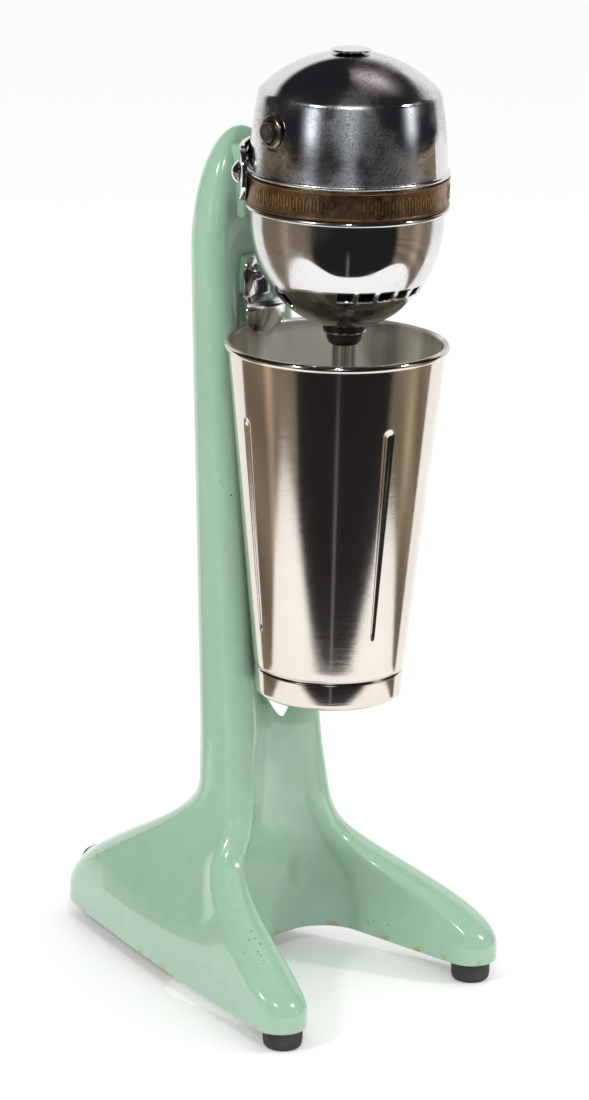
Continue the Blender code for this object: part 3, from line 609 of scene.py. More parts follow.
# Painted highlight: the guide's chrome is toned near white, brighter than the other chrome, to stand in for
# the bright reflection it shows.
PAINTED_BRIGHT_GUIDE_CHROME = chrome("guide_chrome_painted_highlight", 0.45, (0.97, 0.96, 0.95))
CUP_OUTSIDE = stainless_outside()
CUP_INSIDE = stainless_inside()
BRASS = aged_brass("aged_brass", (0.20, 0.12, 0.065), (0.36, 0.235, 0.13))
BRASS_RELIEF = aged_brass("relief_brass", (0.40, 0.27, 0.12), (0.60, 0.44, 0.22))
STEEL = dull_metal("steel", (0.42, 0.41, 0.40), (0.58, 0.57, 0.55), 0.3)
BROWNED_STEEL = dull_metal("browned_steel", (0.17, 0.13, 0.09), (0.34, 0.28, 0.21), 0.28)
RUBBER = moulded("black_rubber", (0.018, 0.018, 0.019), 0.62, 0.25)
PLASTIC = moulded("dark_plastic", (0.018, 0.013, 0.010), 0.28, 0.06)
CARBON = moulded("carbon", (0.02, 0.02, 0.02), 0.55, 0.2)
COPPER = wound_copper("copper_wire")
PLATES = stacked_plates("core_plates")

SLOT_LOOKS = {
    "green_enamel": ENAMEL,
    "chrome": CHROME,
    "stainless": CUP_INSIDE,
    "aged_brass": BRASS_RELIEF,
    "steel": STEEL,
    "lamination": PLATES,
    "copper": COPPER,
    "black_rubber": RUBBER,
    "dark_plastic": PLASTIC,
    "carbon": CARBON,
}


def dress_cad_nodes():
    """Every CAD node gets the procedural material of its slot."""
    slots = {part["node"]: part["material_slot"] for part in frame["record"]["subparts"]}
    for name, obj in frame["nodes"].items():
        obj.data.materials.clear()
        obj.data.materials.append(SLOT_LOOKS[slots[name]])


# ---------------------------------------------------------------- stand


def footprint_half():
    """The skirt's outline from the middle of the heel round the +X side to the middle of the notch."""
    run = HEEL_Y - TOE_Y
    slope = math.degrees(math.atan((TOE_X + TOE_RADIUS - HEEL_RADIUS) / run))
    points = arc((0, HEEL_Y), HEEL_RADIUS, 90, slope, HEEL_STEPS * DETAIL)
    toe = arc((TOE_X, TOE_Y), TOE_RADIUS, slope, -180, TOE_STEPS * DETAIL)
    start, end = points[-1], toe[0]
    for i in range(1, SIDE_STEPS * DETAIL):
        t = i / (SIDE_STEPS * DETAIL)
        bow = SIDE_BOW * math.sin(math.pi * t)
        points.append((mix(start[0], end[0], t) + bow, mix(start[1], end[1], t)))
    points += toe
    for i in range(1, INNER_STEPS * DETAIL):
        t = i / (INNER_STEPS * DETAIL)
        points.append((mix(toe[-1][0], LEG_INNER_X, t), mix(TOE_Y, NOTCH_CENTRE[1], t)))
    points += arc(NOTCH_CENTRE, NOTCH_CORNER, 0, 90, CORNER_STEPS * DETAIL)
    back_y = NOTCH_CENTRE[1] + NOTCH_CORNER
    for i in range(1, BACK_STEPS * DETAIL + 1):
        points.append((NOTCH_CENTRE[0] * (1 - i / (BACK_STEPS * DETAIL)), back_y))
    return points


def column_half(z):
    """The column's outline at height z, with the same stations as footprint_half."""
    rise = min(max(z, COLUMN_LOW_Z), DOME_Z) - COLUMN_LOW_Z
    half_width = COLUMN_HALF_WIDTH - COLUMN_TAPER * rise
    front = COLUMN_FRONT_Y + COLUMN_FRONT_LEAN * rise
    rear = COLUMN_REAR_Y + COLUMN_REAR_LEAN * rise
    hollow = HOLLOW_FRONT * (1 - smoothstep(*HOLLOW_FRONT_END, z))
    rear_x = half_width - COLUMN_REAR_CORNER
    front_x = half_width - COLUMN_FRONT_CORNER
    points = [(rear_x * i / DETAIL, rear) for i in range(DETAIL)]
    corner = (rear_x, rear - COLUMN_REAR_CORNER)
    points += arc(corner, COLUMN_REAR_CORNER, 90, 0, (HEEL_STEPS - 1) * DETAIL)
    start_y = points[-1][1]
    end_y = front + COLUMN_FRONT_CORNER
    for i in range(1, SIDE_STEPS * DETAIL):
        points.append((half_width, mix(start_y, end_y, i / (SIDE_STEPS * DETAIL))))
    points += arc((front_x, end_y), COLUMN_FRONT_CORNER, 0, -90, TOE_STEPS * DETAIL)
    across = (INNER_STEPS + CORNER_STEPS + BACK_STEPS) * DETAIL
    for i in range(1, across + 1):
        t = i / across
        points.append((front_x * (1 - t), front + hollow * (1 - math.cos(math.pi * t)) / 2))
    return points


FOOTPRINT = footprint_half()


def stand_ring(z):
    """The casting's outline at height z: the column spreads into heel and legs below, and domes above."""
    column = column_half(z)
    ends = [point[1] for point in column_half(DOME_Z)]
    centre_y = (max(ends) + min(ends)) / 2
    t = min(max(z - DOME_Z, 0.0) / DOME_HEIGHT, 1.0)
    scale = math.sqrt(1 - t**2)
    heel = 1 - smoothstep(*HEEL_RISE, z)
    flare = 1 - smoothstep(*FLARE_RISE, z)
    leg_x = mix(1 - smoothstep(*LEG_RISE_X, z), flare, LEG_FLARE)
    leg_y = mix(1 - smoothstep(*LEG_RISE_Y, z), flare, LEG_FLARE)
    half = []
    for i, (outer, inner) in enumerate(zip(FOOTPRINT, column)):
        station = i / DETAIL - HEEL_STEPS
        forward = smoothstep(0, 1, station / SIDE_STEPS)
        x = mix(inner[0], outer[0], mix(heel, leg_x, forward)) * scale
        y = mix(inner[1], outer[1], mix(heel, leg_y, forward))
        y = mix(centre_y, y, scale)
        half.append((x, y))
    return half + [(-x, y) for x, y in reversed(half[1:-1])]


def shrunk(ring, distance):
    """The same outline moved inwards by distance, point by point."""
    moved = []
    count = len(ring)
    for i, (x, y) in enumerate(ring):
        before = ring[i - 1]
        after = ring[(i + 1) % count]
        along = Vector((after[0] - before[0], after[1] - before[1])).normalized()
        moved.append((x + along.y * distance, y - along.x * distance))
    return moved


def stand_levels():
    """Heights of the rings above the rounded bottom edge."""
    levels = [SKIRT_Z + LEVEL_STEP * i for i in range(1, int((BASE_TOP_Z - SKIRT_Z) / LEVEL_STEP))]
    levels += [COLUMN_RINGS_Z + COLUMN_STEP * i for i in range(COLUMN_RINGS)]
    for i in range(1, DOME_RINGS):
        levels.append(DOME_Z + DOME_HEIGHT * math.sin(math.pi / 2 * i / DOME_RINGS))
    return levels


def make_stand():
    skirt = stand_ring(SKIRT_Z)
    lip = shrunk(skirt, SKIRT_LIP)
    rings = [[(x, y, z) for x, y in lip] for z in (SKIRT_Z + LIP_HEIGHT, SKIRT_Z)]
    for i in range(EDGE_STEPS + 1):
        turn = math.pi / 2 * i / EDGE_STEPS
        inset = EDGE_ROUND * (1 - math.sin(turn))
        lift = EDGE_ROUND * (1 - math.cos(turn))
        rings.append([(x, y, SKIRT_Z + lift) for x, y in shrunk(skirt, inset)])
    for z in stand_levels():
        rings.append([(x, y, z) for x, y in stand_ring(z)])
    points, faces = stitch(rings)
    count = len(skirt)
    faces.append(tuple(range(len(points) - count, len(points))))
    shell = make_piece("stand_shell", points, faces, ENAMEL, sharp=60.0)
    settle(shell, replaces=("stand_casting",))

    settle(soften(block("bracket_seat", *BRACKET_SEAT, ENAMEL), 2.0))
    settle(soften(block("guide_boss", *GUIDE_BOSS, ENAMEL), 2.0))
    pad = rounded([(0, LUG_DEPTH, 0), (REST_PAD_RADIUS, LUG_DEPTH, 0), (REST_PAD_RADIUS, 0, 1.0), (0, 0, 0)])
    settle(turned("rest_pad", pad, ENAMEL, along_y(*REST_PAD_FACE)))
    boss = rounded(
        [
            (CORD_BORE, -LUG_DEPTH, 0),
            (CORD_BOSS_RADIUS, -LUG_DEPTH, 0),
            (CORD_BOSS_RADIUS, 0, 1.0),
            (CORD_BORE, 0, 0),
        ]
    )
    settle(turned("cord_boss", boss, ENAMEL, along_y(*CORD_FACE)))


def make_feet():
    for name in ("foot_front_left", "foot_front_right", "foot_rear"):
        centre = middle(name)
        corners = [
            (2.6, 10.0, 0),
            (2.6, 4.5, 0),
            (5.0, 4.5, 0.4),
            (5.0, 0.0, 0.5),
            (7.9, 0.0, 0.6),
            (9.3, 1.2, 0.8),
            (9.8, 3.8, 1.0),
            (9.8, 10.0, 0),
        ]
        place = Matrix.Translation((centre.x, centre.y, 0))
        foot = turned(name + "_moulded", rounded(corners), RUBBER, place)
        settle(foot, replaces=(name,))


def make_cord_bushing():
    corners = [
        (CORD_BORE, -16, 0),
        (6.0, -16, 0),
        (6.0, 0.3, 0),
        (8.0, 0.3, 0.3),
        (8.0, 2.2, 0.8),
        (6.8, 3.2, 0.8),
        (4.4, 3.2, 0.6),
        (CORD_BORE, 2.4, 0.6),
        (CORD_BORE, -15.9, 0),
    ]
    bushing = turned("cord_bushing_moulded", rounded(corners), RUBBER, along_y(*CORD_FACE))
    settle(bushing, replaces=("cord_bushing",))


# ---------------------------------------------------------------- head


def bowl_profile(radius, depth):
    end = math.acos(NOSE_BORE / radius)
    points = []
    for i in range(41):
        angle = end * i / 40
        points.append((radius * math.cos(angle), BOWL_Z - depth * math.sin(angle)))
    return points


def bead_profile(z):
    """A rolled bead that frames the band, in section."""
    return arc((BELT_RADIUS + BEAD_OUT, z), BEAD_RADIUS, -BEAD_TURN, BEAD_TURN, 10)


def bolt_place(side):
    x = side * BOLT_RING * math.sin(BOLT_ANGLE)
    y = HEAD_Y - BOLT_RING * math.cos(BOLT_ANGLE)
    return Matrix.Translation((x, y, 0))


def housing_cutters():
    cutters = []
    half_width, half_height = VENT_SIZE[0] / 2, VENT_SIZE[1] / 2
    for i in range(VENT_COUNT):
        place = outward(VENT_PITCH * (i - (VENT_COUNT - 1) / 2), VENT_RING, VENT_Z)
        low = (-half_width, -half_height, -20)
        high = (half_width, half_height, 12)
        cutters.append(block(f"vent_{i}", low, high, None, place))
    for side in (-1, 1):
        low, high = RECESS_Z
        corners = [(0, low), (RECESS_RADIUS, low), (RECESS_RADIUS, high), (0, high)]
        cutters.append(turned(f"recess_{side}", corners, None, bolt_place(side)))
    return cutters


def make_lower_housing():
    outer = bowl_profile(BOWL_RADIUS, BOWL_DEPTH)
    inner = bowl_profile(BOWL_RADIUS - SHEET, BOWL_DEPTH - SHEET)
    belt_z = sum(BAND_Z) / 2 - BELT_GAP
    bead_z = BAND_Z[0] - BEAD_RADIUS - BEAD_GAP
    neck = [(BELT_RADIUS, BAND_Z[0]), (BELT_RADIUS, belt_z), (BELT_RADIUS - SHEET, belt_z)]
    profile = neck + inner + outer[::-1] + [(BOWL_RADIUS + 0.1, bead_z - 1.5)] + bead_profile(bead_z)
    shell = turned("lower_housing_shell", profile, BOWL_CHROME, HEAD_AXIS, HEAD_SEGMENTS, True, 50.0)
    cutters = housing_cutters()
    for cutter in cutters:
        drill(shell, cutter)
    bake_modifiers(shell, cutters)
    settle(shell, replaces=("lower_housing",))


def crown_profile():
    """The crown is part of a sphere, from its edge nearly to the axis."""
    rise = CROWN_Z - SHOULDER[1]
    sphere = (SHOULDER[0] ** 2 + rise**2) / (2 * rise)
    points = []
    for i in range(30):
        r = mix(SHOULDER[0] - 1.0, 5.0, i / 29)
        points.append((r, CROWN_Z - sphere + math.sqrt(sphere**2 - r**2)))
    return points


def make_upper_housing():
    belt_z = sum(BAND_Z) / 2 + BELT_GAP
    bead = bead_profile(BAND_Z[1] + BEAD_RADIUS + BEAD_GAP)
    low, high = CAP_WALL_RADIUS
    crown = crown_profile()
    wall = rounded(
        [
            (low, CAP_WALL_Z[0] + 1.2, 0),
            (mix(low, high, 0.36), 440.0, 9.0),
            (high, CAP_WALL_Z[1], 5.0),
            (high - 0.8, CAP_WALL_Z[1] + 3.4, 1.5),
            crown[0] + (0,),
        ],
        8,
    )
    outer = [(BELT_RADIUS, belt_z), (BELT_RADIUS, BAND_Z[1])] + bead + wall + crown[1:]
    inner = [(r - SHEET if r > 12 else r, z - SHEET) for r, z in reversed(wall + crown[1:])]
    profile = outer + inner + [(BELT_RADIUS - SHEET, belt_z)]
    shell = turned("upper_housing_shell", profile, WORN_CHROME, HEAD_AXIS, HEAD_SEGMENTS, True, 50.0)
    hole = turned("bushing_hole", BUTTON_HOLE, None, outward(-BUTTON_ANGLE, 0, BUTTON_Z))
    drill(shell, hole)
    bake_modifiers(shell, [hole])
    settle(shell, replaces=("upper_housing",))


def make_band():
    """The brass band: raised borders, and a plain ornament of raised bars where a maker would put a name."""
    z0, z1 = BAND_Z[0] + 0.3, BAND_Z[1] - 0.3
    face = BAND_RADIUS - BAND_SINK
    corners = [
        (BELT_RADIUS + 0.3, z0, 0),
        (BAND_RADIUS, z0, 0.3),
        (BAND_RADIUS, z0 + BAND_BORDER, 0.25),
        (face, z0 + BAND_BORDER + 0.2, 0.15),
        (face, z1 - BAND_BORDER - 0.2, 0.15),
        (BAND_RADIUS, z1 - BAND_BORDER, 0.25),
        (BAND_RADIUS, z1, 0.3),
        (BELT_RADIUS + 0.3, z1, 0),
    ]
    band = turned("band_strip", rounded(corners), BRASS, HEAD_AXIS, HEAD_SEGMENTS, True)
    settle(band, replaces=("name_band",))
    points = []
    faces = []
    for angle, half_height in ornament():
        first = len(points)
        points += bar_corners(angle, half_height, (z0 + z1) / 2, face)
        for i in range(4):
            j = (i + 1) % 4
            faces.append((first + i, first + j, first + 4 + j, first + 4 + i))
        faces.append(tuple(first + 4 + i for i in range(4)))
    relief = make_piece("band_relief", points, faces, BRASS_RELIEF, HEAD_AXIS)
    settle(relief)


def bar_corners(angle, half_height, middle_z, face):
    """A raised bar's four points on the band's face, then the four of its narrower top."""
    corners = []
    for radius, inset in ((face - 0.1, 0.0), (BAND_RADIUS - 0.05, 0.12)):
        for a, b in ((-1, -1), (1, -1), (1, 1), (-1, 1)):
            turn = angle + a * (BAR_HALF_WIDTH - inset) / radius
            z = middle_z + b * (half_height - inset)
            corners.append((radius * math.sin(turn), -radius * math.cos(turn), z))
    return corners


def ornament():
    """(angle from the front, half height) of each raised bar, in groups round the band."""
    tall, short = BAR_HALF_HEIGHTS
    bars = []
    for centre in ORNAMENT_CENTRES:
        for i in range(-ORNAMENT_REACH, ORNAMENT_REACH + 1):
            half_height = tall if i % 2 == 0 else short
            bars.append((math.radians(centre + ORNAMENT_PITCH * i), half_height))
    return bars


def make_plug():
    seat = CROWN_Z + 0.25
    corners = [
        (4.6, seat - 8, 0),
        (4.6, seat, 0),
        (9.7, seat, 0.2),
        (10.0, seat + 0.5, 0.4),
        (8.6, TOP_Z - 0.2, 2.0),
        (AXIS, TOP_Z, 0),
    ]
    settle(turned("top_plug_cap", rounded(corners), CHROME), replaces=("top_plug",))


def make_button():
    """The push button, in a ring with one groove round its face."""
    face = BUTTON_FACE
    place = outward(-BUTTON_ANGLE, 0, BUTTON_Z)
    threads = [
        (5.7, face - 5, 0),
        (5.7, face + 0.5, 0),
        (BUSHING_RADIUS, face + 0.5, 0.2),
        (BUSHING_RADIUS, face + 1.5, 0.4),
        (BUSHING_RADIUS - 1.0, face + 2.2, 0.5),
        (6.1, face + 2.2, 0.2),
        (5.9, face + 1.5, 0.2),
        (5.6, face + 2.2, 0.2),
        (5.2, face + 2.1, 0.2),
        (5.2, face - 5, 0),
    ]
    ring = turned("bushing_ring", rounded(threads), BROWNED_STEEL, place)
    settle(ring, replaces=("switch_bushing",))
    tip = face + 5.2
    corners = [
        (AXIS, face - 7, 0),
        (2.4, face - 7, 0),
        (2.4, face - 1.5, 0),
        (BUTTON_RADIUS, face - 1.5, 0),
        (BUTTON_RADIUS, tip - 0.8, 1.2),
        (BUTTON_RADIUS - 1.2, tip - 0.05, 0.8),
        (AXIS, tip, 0),
    ]
    button = turned("button_cap", rounded(corners), PLASTIC, place)
    settle(button, "button", ("push_button",))


def make_collar():
    corners = [
        (6.1, 335.0, 0),
        (6.7, 335.0, 0.4),
        (7.9, 336.2, 1.0),
        (9.2, 340.6, 0.6),
        (9.2, 342.3, 0),
        (10.4, 342.3, 0),
        (10.4, 347.0, 0),
        (6.1, 347.0, 0),
    ]
    collar = turned("collar_moulded", rounded(corners), PLASTIC, closed=True)
    settle(collar, replaces=("nose_collar",))
    ring = arc((9.9, 341.45), 0.62, 0, 330, 11)
    settle(turned("collar_ring", ring, CHROME, closed=True), replaces=("nose_ring",))


def make_spindle():
    corners = [
        (AXIS, 180, 0),
        (2.4, 180, 0.6),
        (2.4, 186, 0),
        (3.2, 186, 0.3),
        (3.2, 296, 1.0),
        (5.8, 300, 1.0),
        (5.8, 356, 0),
        (AXIS, 356, 0),
    ]
    settle(turned("spindle_shaft", rounded(corners), CHROME), "rotor", ("spindle",))


def make_bolts():
    corners = [
        (AXIS, 363.6, 0),
        (0.6, 363.6, 0),
        (0.6, 363.0, 0.2),
        (3.4, 363.0, 0.5),
        (4.1, 364.2, 0.5),
        (4.1, 367.0, 0.2),
        (2.0, 367.0, 0),
        (2.0, 454.0, 0),
        (AXIS, 454.0, 0),
    ]
    for name, side in (("left", -1), ("right", 1)):
        bolt = turned(f"bolt_{name}", rounded(corners), STEEL, bolt_place(side))
        settle(bolt, replaces=(f"housing_bolt_{name}",))


def strap_section(angle, reach, corner):
    """The strap's section at one angle: its height falls to nothing round the end corners."""
    half = (STRAP_Z[1] - STRAP_Z[0]) / 2
    middle_z = sum(STRAP_Z) / 2
    inset = max(corner - (reach - abs(angle)), 0.0) / corner
    height = half - STRAP_CORNER * (1 - math.sqrt(max(1 - inset**2, 0.0)))
    inner, outer = STRAP_RADIUS
    eased = outer - STRAP_EDGE
    ring = []
    for radius, side in ((inner, -1), (eased, -1), (outer, -0.96), (outer, 0.96), (eased, 1), (inner, 1)):
        ring.append((radius * math.sin(angle), radius * math.cos(angle), middle_z + side * height))
    return ring


def make_bracket():
    reach = STRAP_SCREW_ANGLE + STRAP_END
    corner = STRAP_CORNER / STRAP_RADIUS[1]
    steps = STRAP_END_STEPS
    stops = [corner * (1 - math.cos(math.pi / 2 * i / steps)) for i in range(steps + 1)]
    angles = [-reach + stop for stop in stops]
    angles += [(reach - corner) * t / STRAP_STEPS for t in range(1 - STRAP_STEPS, STRAP_STEPS)]
    angles += [reach - stop for stop in reversed(stops)]
    rings = [strap_section(angle, reach, corner) for angle in angles]
    strap = lofted("strap", rings, CHROME, HEAD_AXIS)
    settle(strap, replaces=("motor_bracket",))
    low = (-STRAP_BLOCK_HALF, HEAD_Y + STRAP_RADIUS[1] - 2.0, STRAP_BLOCK_Z[0])
    high = (STRAP_BLOCK_HALF, STRAP_BLOCK_Y, STRAP_BLOCK_Z[1])
    settle(soften(block("strap_block", low, high, CHROME), 1.2))
    for name, side in (("left", -1), ("right", 1)):
        place = outward(side * (math.pi - STRAP_SCREW_ANGLE), 0, STRAP_SCREW_Z)
        seat = STRAP_RADIUS[1] + 0.1
        head = arc((0, seat - 3.1), 6.7, 28, 89.9, 12)
        profile = [(AXIS, 42.5), (2.0, 42.5), (2.0, seat), (5.8, seat)] + head
        screw = turned(f"strap_screw_{name}", profile, CHROME, place)
        settle(screw, replaces=(f"bracket_screw_{name}",))


# ---------------------------------------------------------------- guide, rest and cup


def plate_section(half, y, z, thick, edge=0.45):
    """A flat strip's section with softened edges, as points round it."""
    front = y - thick
    return [
        (-half, y - edge, z),
        (-half + edge, y, z),
        (half - edge, y, z),
        (half, y - edge, z),
        (half, front + edge, z),
        (half - edge, front, z),
        (-half + edge, front, z),
        (-half, front + edge, z),
    ]


def guide_rings():
    """Sections from the plate's round top, down through its joggle, to the end of the tongue."""
    back = GUIDE_BACK
    forward = back - GUIDE_JOGGLE
    rings = []
    for i in range(13):
        turn = math.radians(82 * (1 - i / 12))
        half = GUIDE_TOP_RADIUS * math.cos(turn)
        z = GUIDE_TOP_Z + GUIDE_TOP_RADIUS * math.sin(turn)
        rings.append(plate_section(half, back, z, GUIDE_THICK))
    for i in range(1, 13):
        t = i / 12
        y = mix(back, forward, smoothstep(0, 1, t))
        half = mix(GUIDE_TOP_RADIUS, TONGUE_RADIUS, smoothstep(0, 1, t))
        rings.append(plate_section(half, y, mix(*GUIDE_BEND_Z, t), GUIDE_THICK))
    for i in range(17):
        turn = math.radians(86 * i / 16)
        half = TONGUE_RADIUS * math.cos(turn)
        z = TONGUE_Z - TONGUE_DEPTH * math.sin(turn)
        rings.append(plate_section(half, forward, z, GUIDE_THICK, 0.35))
    return rings


def make_guide():
    """A round-topped plate on its boss, with a half-round tongue inside the cup's rim."""
    guide = lofted("guide_plate", guide_rings(), PAINTED_BRIGHT_GUIDE_CHROME, sharp=60.0)
    settle(guide, replaces=("cup_guide",))
    head = arc((0, GUIDE_HEAD_RISE), 5.6, -54, -89.9, 10)
    shank = [(AXIS, 6), (2.0, 6), (2.0, -0.2), (4.5, -0.2), (4.5, -0.6)]
    profile = shank + [(r, z + 1.6) for r, z in head[2:]]
    screw = turned("guide_screw", profile, CHROME, along_y(0, GUIDE_BACK - GUIDE_THICK, GUIDE_TOP_Z))
    settle(screw, replaces=("cup_guide_screw",))


def make_rest():
    """A pressed V-shaped tongue under a shelf for the cup's foot."""
    rings = []
    for i in range(25):
        t = i / 24
        half = REST_HALF * min((t / 0.62) ** 0.8 + 0.12, 1.0)
        bulge = REST_BULGE * (1 - t) ** 2
        rings.append(plate_section(half, REST_BACK - bulge, mix(*REST_Z, t), REST_THICK, 0.4))
    tongue = lofted("rest_tongue", rings, CHROME, sharp=60.0)
    settle(tongue, replaces=("cup_rest",))
    shelf = lofted("rest_shelf", [[(x, y, z) for x, y in SHELF_OUTLINE] for z in SHELF_Z], CHROME)
    settle(soften(shelf, 0.4))
    lip = block("rest_lip", (-9, -21.8, SHELF_Z[0]), (9, -20.6, 162.4), CHROME)
    settle(soften(lip, 0.4))


def cup_outer(z):
    """Radius of the cup's outer wall at height z above its foot."""
    low = CUP_FOOT_RADIUS + 0.7
    return mix(low, CUP_RIM_RADIUS, (z - CUP_BAND_TOP) / (CUP_HEIGHT - CUP_BAND_TOP))


def flute_press(angle, z):
    """How far a flute presses the wall inwards there: a long groove, wider at its round top."""
    press = 0.0
    low, high = FLUTE_Z
    t = (z - low) / (high - low)
    for centre in FLUTE_ANGLES:
        away = (angle - centre + math.pi) % math.tau - math.pi
        across = abs(away) * FLUTE_WALL_RADIUS
        half = mix(FLUTE_WIDTH[0], FLUTE_WIDTH[1], min(max(t, 0.0), 1.0))
        past = max(low + half - z, z - high + half, 0.0)
        distance = math.hypot(across, past) / half
        if distance < 1:
            press = FLUTE_DEPTH * (0.5 + 0.5 * math.cos(math.pi * distance)) * mix(0.75, 1.0, t)
    return press


def cup_angles():
    """Even steps round the cup, with close ones across each flute."""
    angles = {round(math.tau * i / 120, 6) for i in range(120)}
    for centre in FLUTE_ANGLES:
        for i in range(-10, 11):
            angles.add(round((centre + math.radians(0.42 * i)) % math.tau, 6))
    kept = []
    for angle in sorted(angles):
        if not kept or angle - kept[-1] > 0.004:
            kept.append(angle)
    return kept


def make_cup():
    bead_z = CUP_HEIGHT - RIM_BEAD
    top = cup_outer(bead_z)
    foot = rounded(
        [
            (0.01, 3.0, 0),
            (30.5, 3.0, 1.5),
            (32.5, 0.0, 1.2),
            (34.8, 0.0, 1.2),
            (36.4, 1.6, 1.6),
            (36.9, CUP_BAND_TOP - 1.2, 0.5),
            (36.3, CUP_BAND_TOP, 0.5),
            (37.3, CUP_BAND_TOP + 1.3, 0.6),
            (cup_outer(20.0), 20.0, 0),
        ]
    )
    levels = [FLUTED_WALL_Z[0] + 0.5 + i for i in range(128)] + [FLUTED_WALL_Z[1] + 4 * i for i in range(7)]
    wall = [(cup_outer(z), z) for z in levels]
    bead = arc((top, bead_z), RIM_BEAD, -70, 180, BEAD_STEPS)
    inner_wall = [(cup_outer(z) - CUP_SHEET, z) for z in reversed(levels)]
    floor = rounded([(cup_outer(18.0) - CUP_SHEET, 18.0, 0), (35.4, 4.0, 4.0), (0.01, 4.0, 0)], 8)
    outside_rows = len(foot) + len(wall) + BEAD_STEPS // 2 + 1
    profile = foot + wall + bead + inner_wall + floor
    angles = cup_angles()
    rings = []
    for radius, z in profile:
        ring = []
        for angle in angles:
            fluted = FLUTED_WALL_Z[0] < z < FLUTED_WALL_Z[1]
            r = radius - flute_press(angle, z) if fluted else radius
            ring.append((r * math.cos(angle), r * math.sin(angle), z))
        rings.append(ring)
    points, faces = stitch(rings)
    place = Matrix.Translation((0, CUP_Y, CUP_FLOOR_Z))
    cup = make_piece("cup_shell", points, faces, CUP_OUTSIDE, place, 50.0)
    cup.data.materials.append(CUP_INSIDE)
    count = len(angles)
    for i, face in enumerate(cup.data.polygons):
        face.material_index = 1 if i // count >= outside_rows else 0
    settle(cup, "cup", ("mixing_cup",))


# ---------------------------------------------------------------- room, floor, lights and camera


def make_floor():
    size = FLOOR_SIZE
    corners = [(-size, -size, 0), (size, -size, 0), (size, size, 0), (-size, size, 0)]
    paper = Nodes("pale_floor")
    paper.set(Base_Color=(0.88, 0.88, 0.87, 1.0), Roughness=0.7)
    paper.set(Emission_Color=(1.0, 1.0, 1.0, 1.0), Emission_Strength=0.09)
    floor = make_piece("floor", corners, [(0, 1, 2, 3)], paper.material)


def bump_at(value, centre, width):
    """A smooth hill, 1 high at its centre."""
    return math.exp(-(((value - centre) / width) ** 2))


def window_light(azimuth):
    """Three tall soft lights low in the room, bluish white."""
    return 1.5 * bump_at(azimuth, -46, 8) + 1.3 * bump_at(azimuth, 1, 7) + 1.4 * bump_at(azimuth, 80, 8)


def room_colour(azimuth, elevation):
    """What shiny metal sees of the studio, by angles from the camera's side, in degrees."""
    pale = smoothstep(126, 134, abs(azimuth)) * (1 - smoothstep(32, 40, elevation))
    lamp = 0.90 * bump_at(azimuth, 150, 24) * bump_at(elevation, 66, 8)
    window = window_light(azimuth) * mix(0.10, 1.0, smoothstep(2, 10, elevation))
    window *= 1 - smoothstep(13, 26, elevation)
    dark = (0.018 + lamp + window * 0.88, 0.017 + lamp * 0.86 + window * 0.94, 0.020 + lamp * 0.92 + window)
    return tuple(mix(value, 0.86, pale) for value in dark)


def floor_card_colour(azimuth, radius):
    left = 0.20 * smoothstep(40, 48, -azimuth) + 0.30 * bump_at(azimuth, -78, 5)
    right = 0.22 * smoothstep(58, 66, azimuth) + 0.20 * bump_at(azimuth, 92, 7)
    ripple = 1 + 0.30 * math.sin(radius * 0.02 + azimuth * 0.12)
    wood = (left + right) * ripple
    glint = 0.22 * bump_at(azimuth, 2, 1.4) * (1 - smoothstep(500, 900, radius))
    return (0.020 + wood + glint * 0.88, 0.019 + wood * 0.80 + glint * 0.94, 0.020 + wood * 0.55 + glint)


def card_edge(azimuth):
    """How far from the mixer the white paper ends, in that direction."""
    return 340 + 320 * bump_at(azimuth, -62, 28) + 270 * bump_at(azimuth, 76, 32)


def glossy_only(obj):
    obj.visible_camera = False
    obj.visible_diffuse = False
    obj.visible_shadow = False
    obj.visible_transmission = False


def painted_sheet(name, rows, columns, place, colour):
    """A grid whose light comes from a colour kept on its points."""
    points = []
    colours = []
    for i in range(rows):
        for j in range(columns):
            points.append(place(i, j))
            colours.append(colour(i, j))
    faces = []
    for i in range(rows - 1):
        for j in range(columns - 1):
            a = i * columns + j
            faces.append((a, a + 1, a + columns + 1, a + columns))
    material = bpy.data.materials.new(name)
    material.use_nodes = True
    tree = material.node_tree
    tree.nodes.clear()
    paint = tree.nodes.new("ShaderNodeVertexColor")
    paint.layer_name = "paint"
    light = tree.nodes.new("ShaderNodeEmission")
    output = tree.nodes.new("ShaderNodeOutputMaterial")
    tree.links.new(paint.outputs["Color"], light.inputs["Color"])
    tree.links.new(light.outputs["Emission"], output.inputs["Surface"])
    mesh = bpy.data.meshes.new(name)
    mesh.from_pydata([Vector(point) * MM for point in points], [], faces)
    mesh.materials.append(material)
    layer = mesh.color_attributes.new("paint", "FLOAT_COLOR", "POINT")
    for i, value in enumerate(colours):
        layer.data[i].color = (*value, 1.0)
    sheet = bpy.data.objects.new(name, mesh)
    bpy.context.scene.collection.objects.link(sheet)
    glossy_only(sheet)


def towards(azimuth, radius, z):
    """A point by its direction from the camera's side, in degrees, round the head's axis."""
    angle = CAMERA_AZIMUTH + math.radians(azimuth)
    return (radius * math.sin(angle), HEAD_Y - radius * math.cos(angle), z)


def dome_point(azimuth, elevation):
    """A point of the room's dome, 2 mm above the floor at its foot."""
    turn = math.radians(elevation)
    return towards(azimuth, ROOM_REACH * math.cos(turn), ROOM_REACH * math.sin(turn) + 2)


def card_radius(step, azimuth):
    """Distance of the far floor's rows, growing from the paper's edge to the dome."""
    edge = card_edge(azimuth)
    return edge * (ROOM_REACH / edge) ** (step / 40)


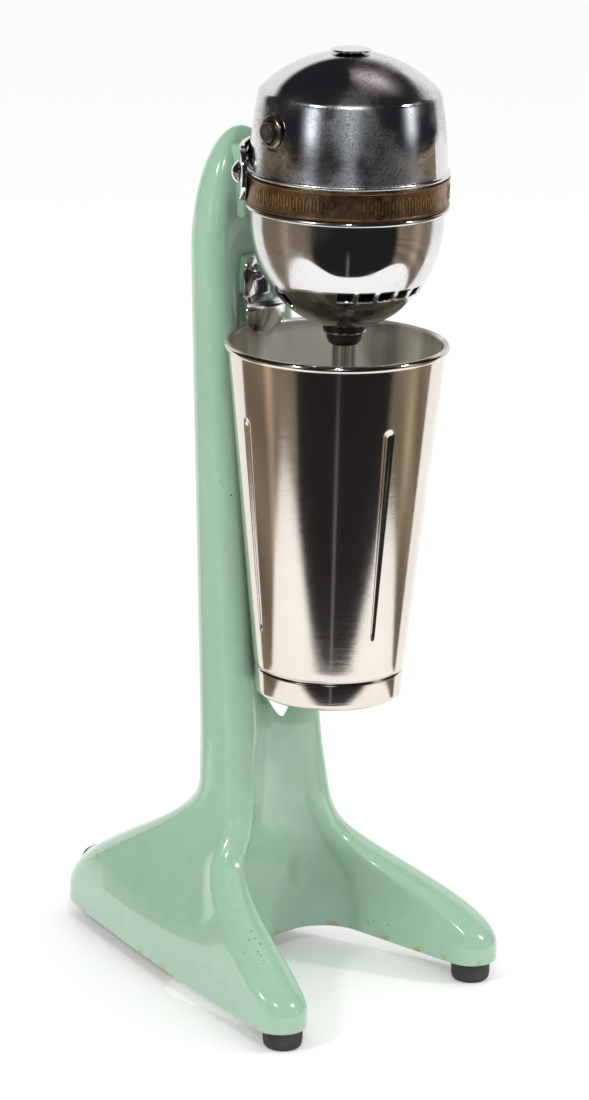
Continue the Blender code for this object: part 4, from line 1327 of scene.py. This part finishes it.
def make_room():
    """The dark studio that chrome mirrors on the camera's side, seen by reflections only."""
    painted_sheet(
        "studio_dome",
        90,
        181,
        lambda i, j: dome_point(2 * j - 180, i),
        lambda i, j: room_colour(2 * j - 180, i),
    )
    painted_sheet(
        "studio_floor_card",
        41,
        121,
        lambda i, j: towards(2 * j - 120, card_radius(i, 2 * j - 120), 1.0),
        lambda i, j: floor_card_colour(2 * j - 120, card_radius(i, 2 * j - 120)),
    )


def make_light(name, azimuth, elevation, size, power):
    """A square white soft box, placed by its direction from the head and aimed at the mixer's middle."""
    light = bpy.data.lights.new(name, "AREA")
    light.size = size
    light.energy = power
    obj = bpy.data.objects.new(name, light)
    turn = math.radians(elevation)
    place = Vector(towards(azimuth, LIGHT_DISTANCE * math.cos(turn), LIGHT_DISTANCE * math.sin(turn))) * MM
    obj.location = place
    aim = Vector((0, HEAD_Y, LIGHT_AIM_Z)) * MM - place
    obj.rotation_euler = aim.to_track_quat("-Z", "Y").to_euler()
    bpy.context.scene.collection.objects.link(obj)


def make_lights():
    make_light("box_left", -46, 42, 0.20, 12)
    make_light("box_middle", 2, 46, 0.16, 8)
    make_light("box_right", 80, 40, 0.20, 12)
    world = bpy.data.worlds.new("studio")
    world.use_nodes = True
    background = world.node_tree.nodes["Background"]
    background.inputs["Color"].default_value = (1.0, 1.0, 1.0, 1.0)
    background.inputs["Strength"].default_value = 0.97
    bpy.context.scene.world = world
    bpy.context.scene.view_settings.view_transform = "Standard"


def make_camera():
    data = bpy.data.cameras.new("camera")
    data.sensor_width = SENSOR
    data.sensor_fit = "AUTO"
    data.lens = FOCAL_PIXELS / PICTURE_HEIGHT * SENSOR
    data.clip_start = 0.1
    data.clip_end = 50.0
    camera = bpy.data.objects.new("camera", data)
    back = (CAMERA_PLACE - CAMERA_TARGET).normalized()
    level = Vector((math.cos(CAMERA_AZIMUTH), math.sin(CAMERA_AZIMUTH), 0))
    upright = back.cross(level)
    right = level * math.cos(CAMERA_ROLL) + upright * math.sin(CAMERA_ROLL)
    up = upright * math.cos(CAMERA_ROLL) - level * math.sin(CAMERA_ROLL)
    turn = Matrix((right, up, back)).transposed().to_4x4()
    camera.matrix_world = Matrix.Translation(CAMERA_PLACE) @ turn
    bpy.context.scene.collection.objects.link(camera)
    bpy.context.scene.camera = camera


make_camera()
make_lights()
make_floor()
make_room()
dress_cad_nodes()
make_stand()
make_feet()
make_cord_bushing()
make_lower_housing()
make_upper_housing()
make_band()
make_plug()
make_button()
make_collar()
make_spindle()
make_bolts()
make_bracket()
make_guide()
make_rest()
make_cup()
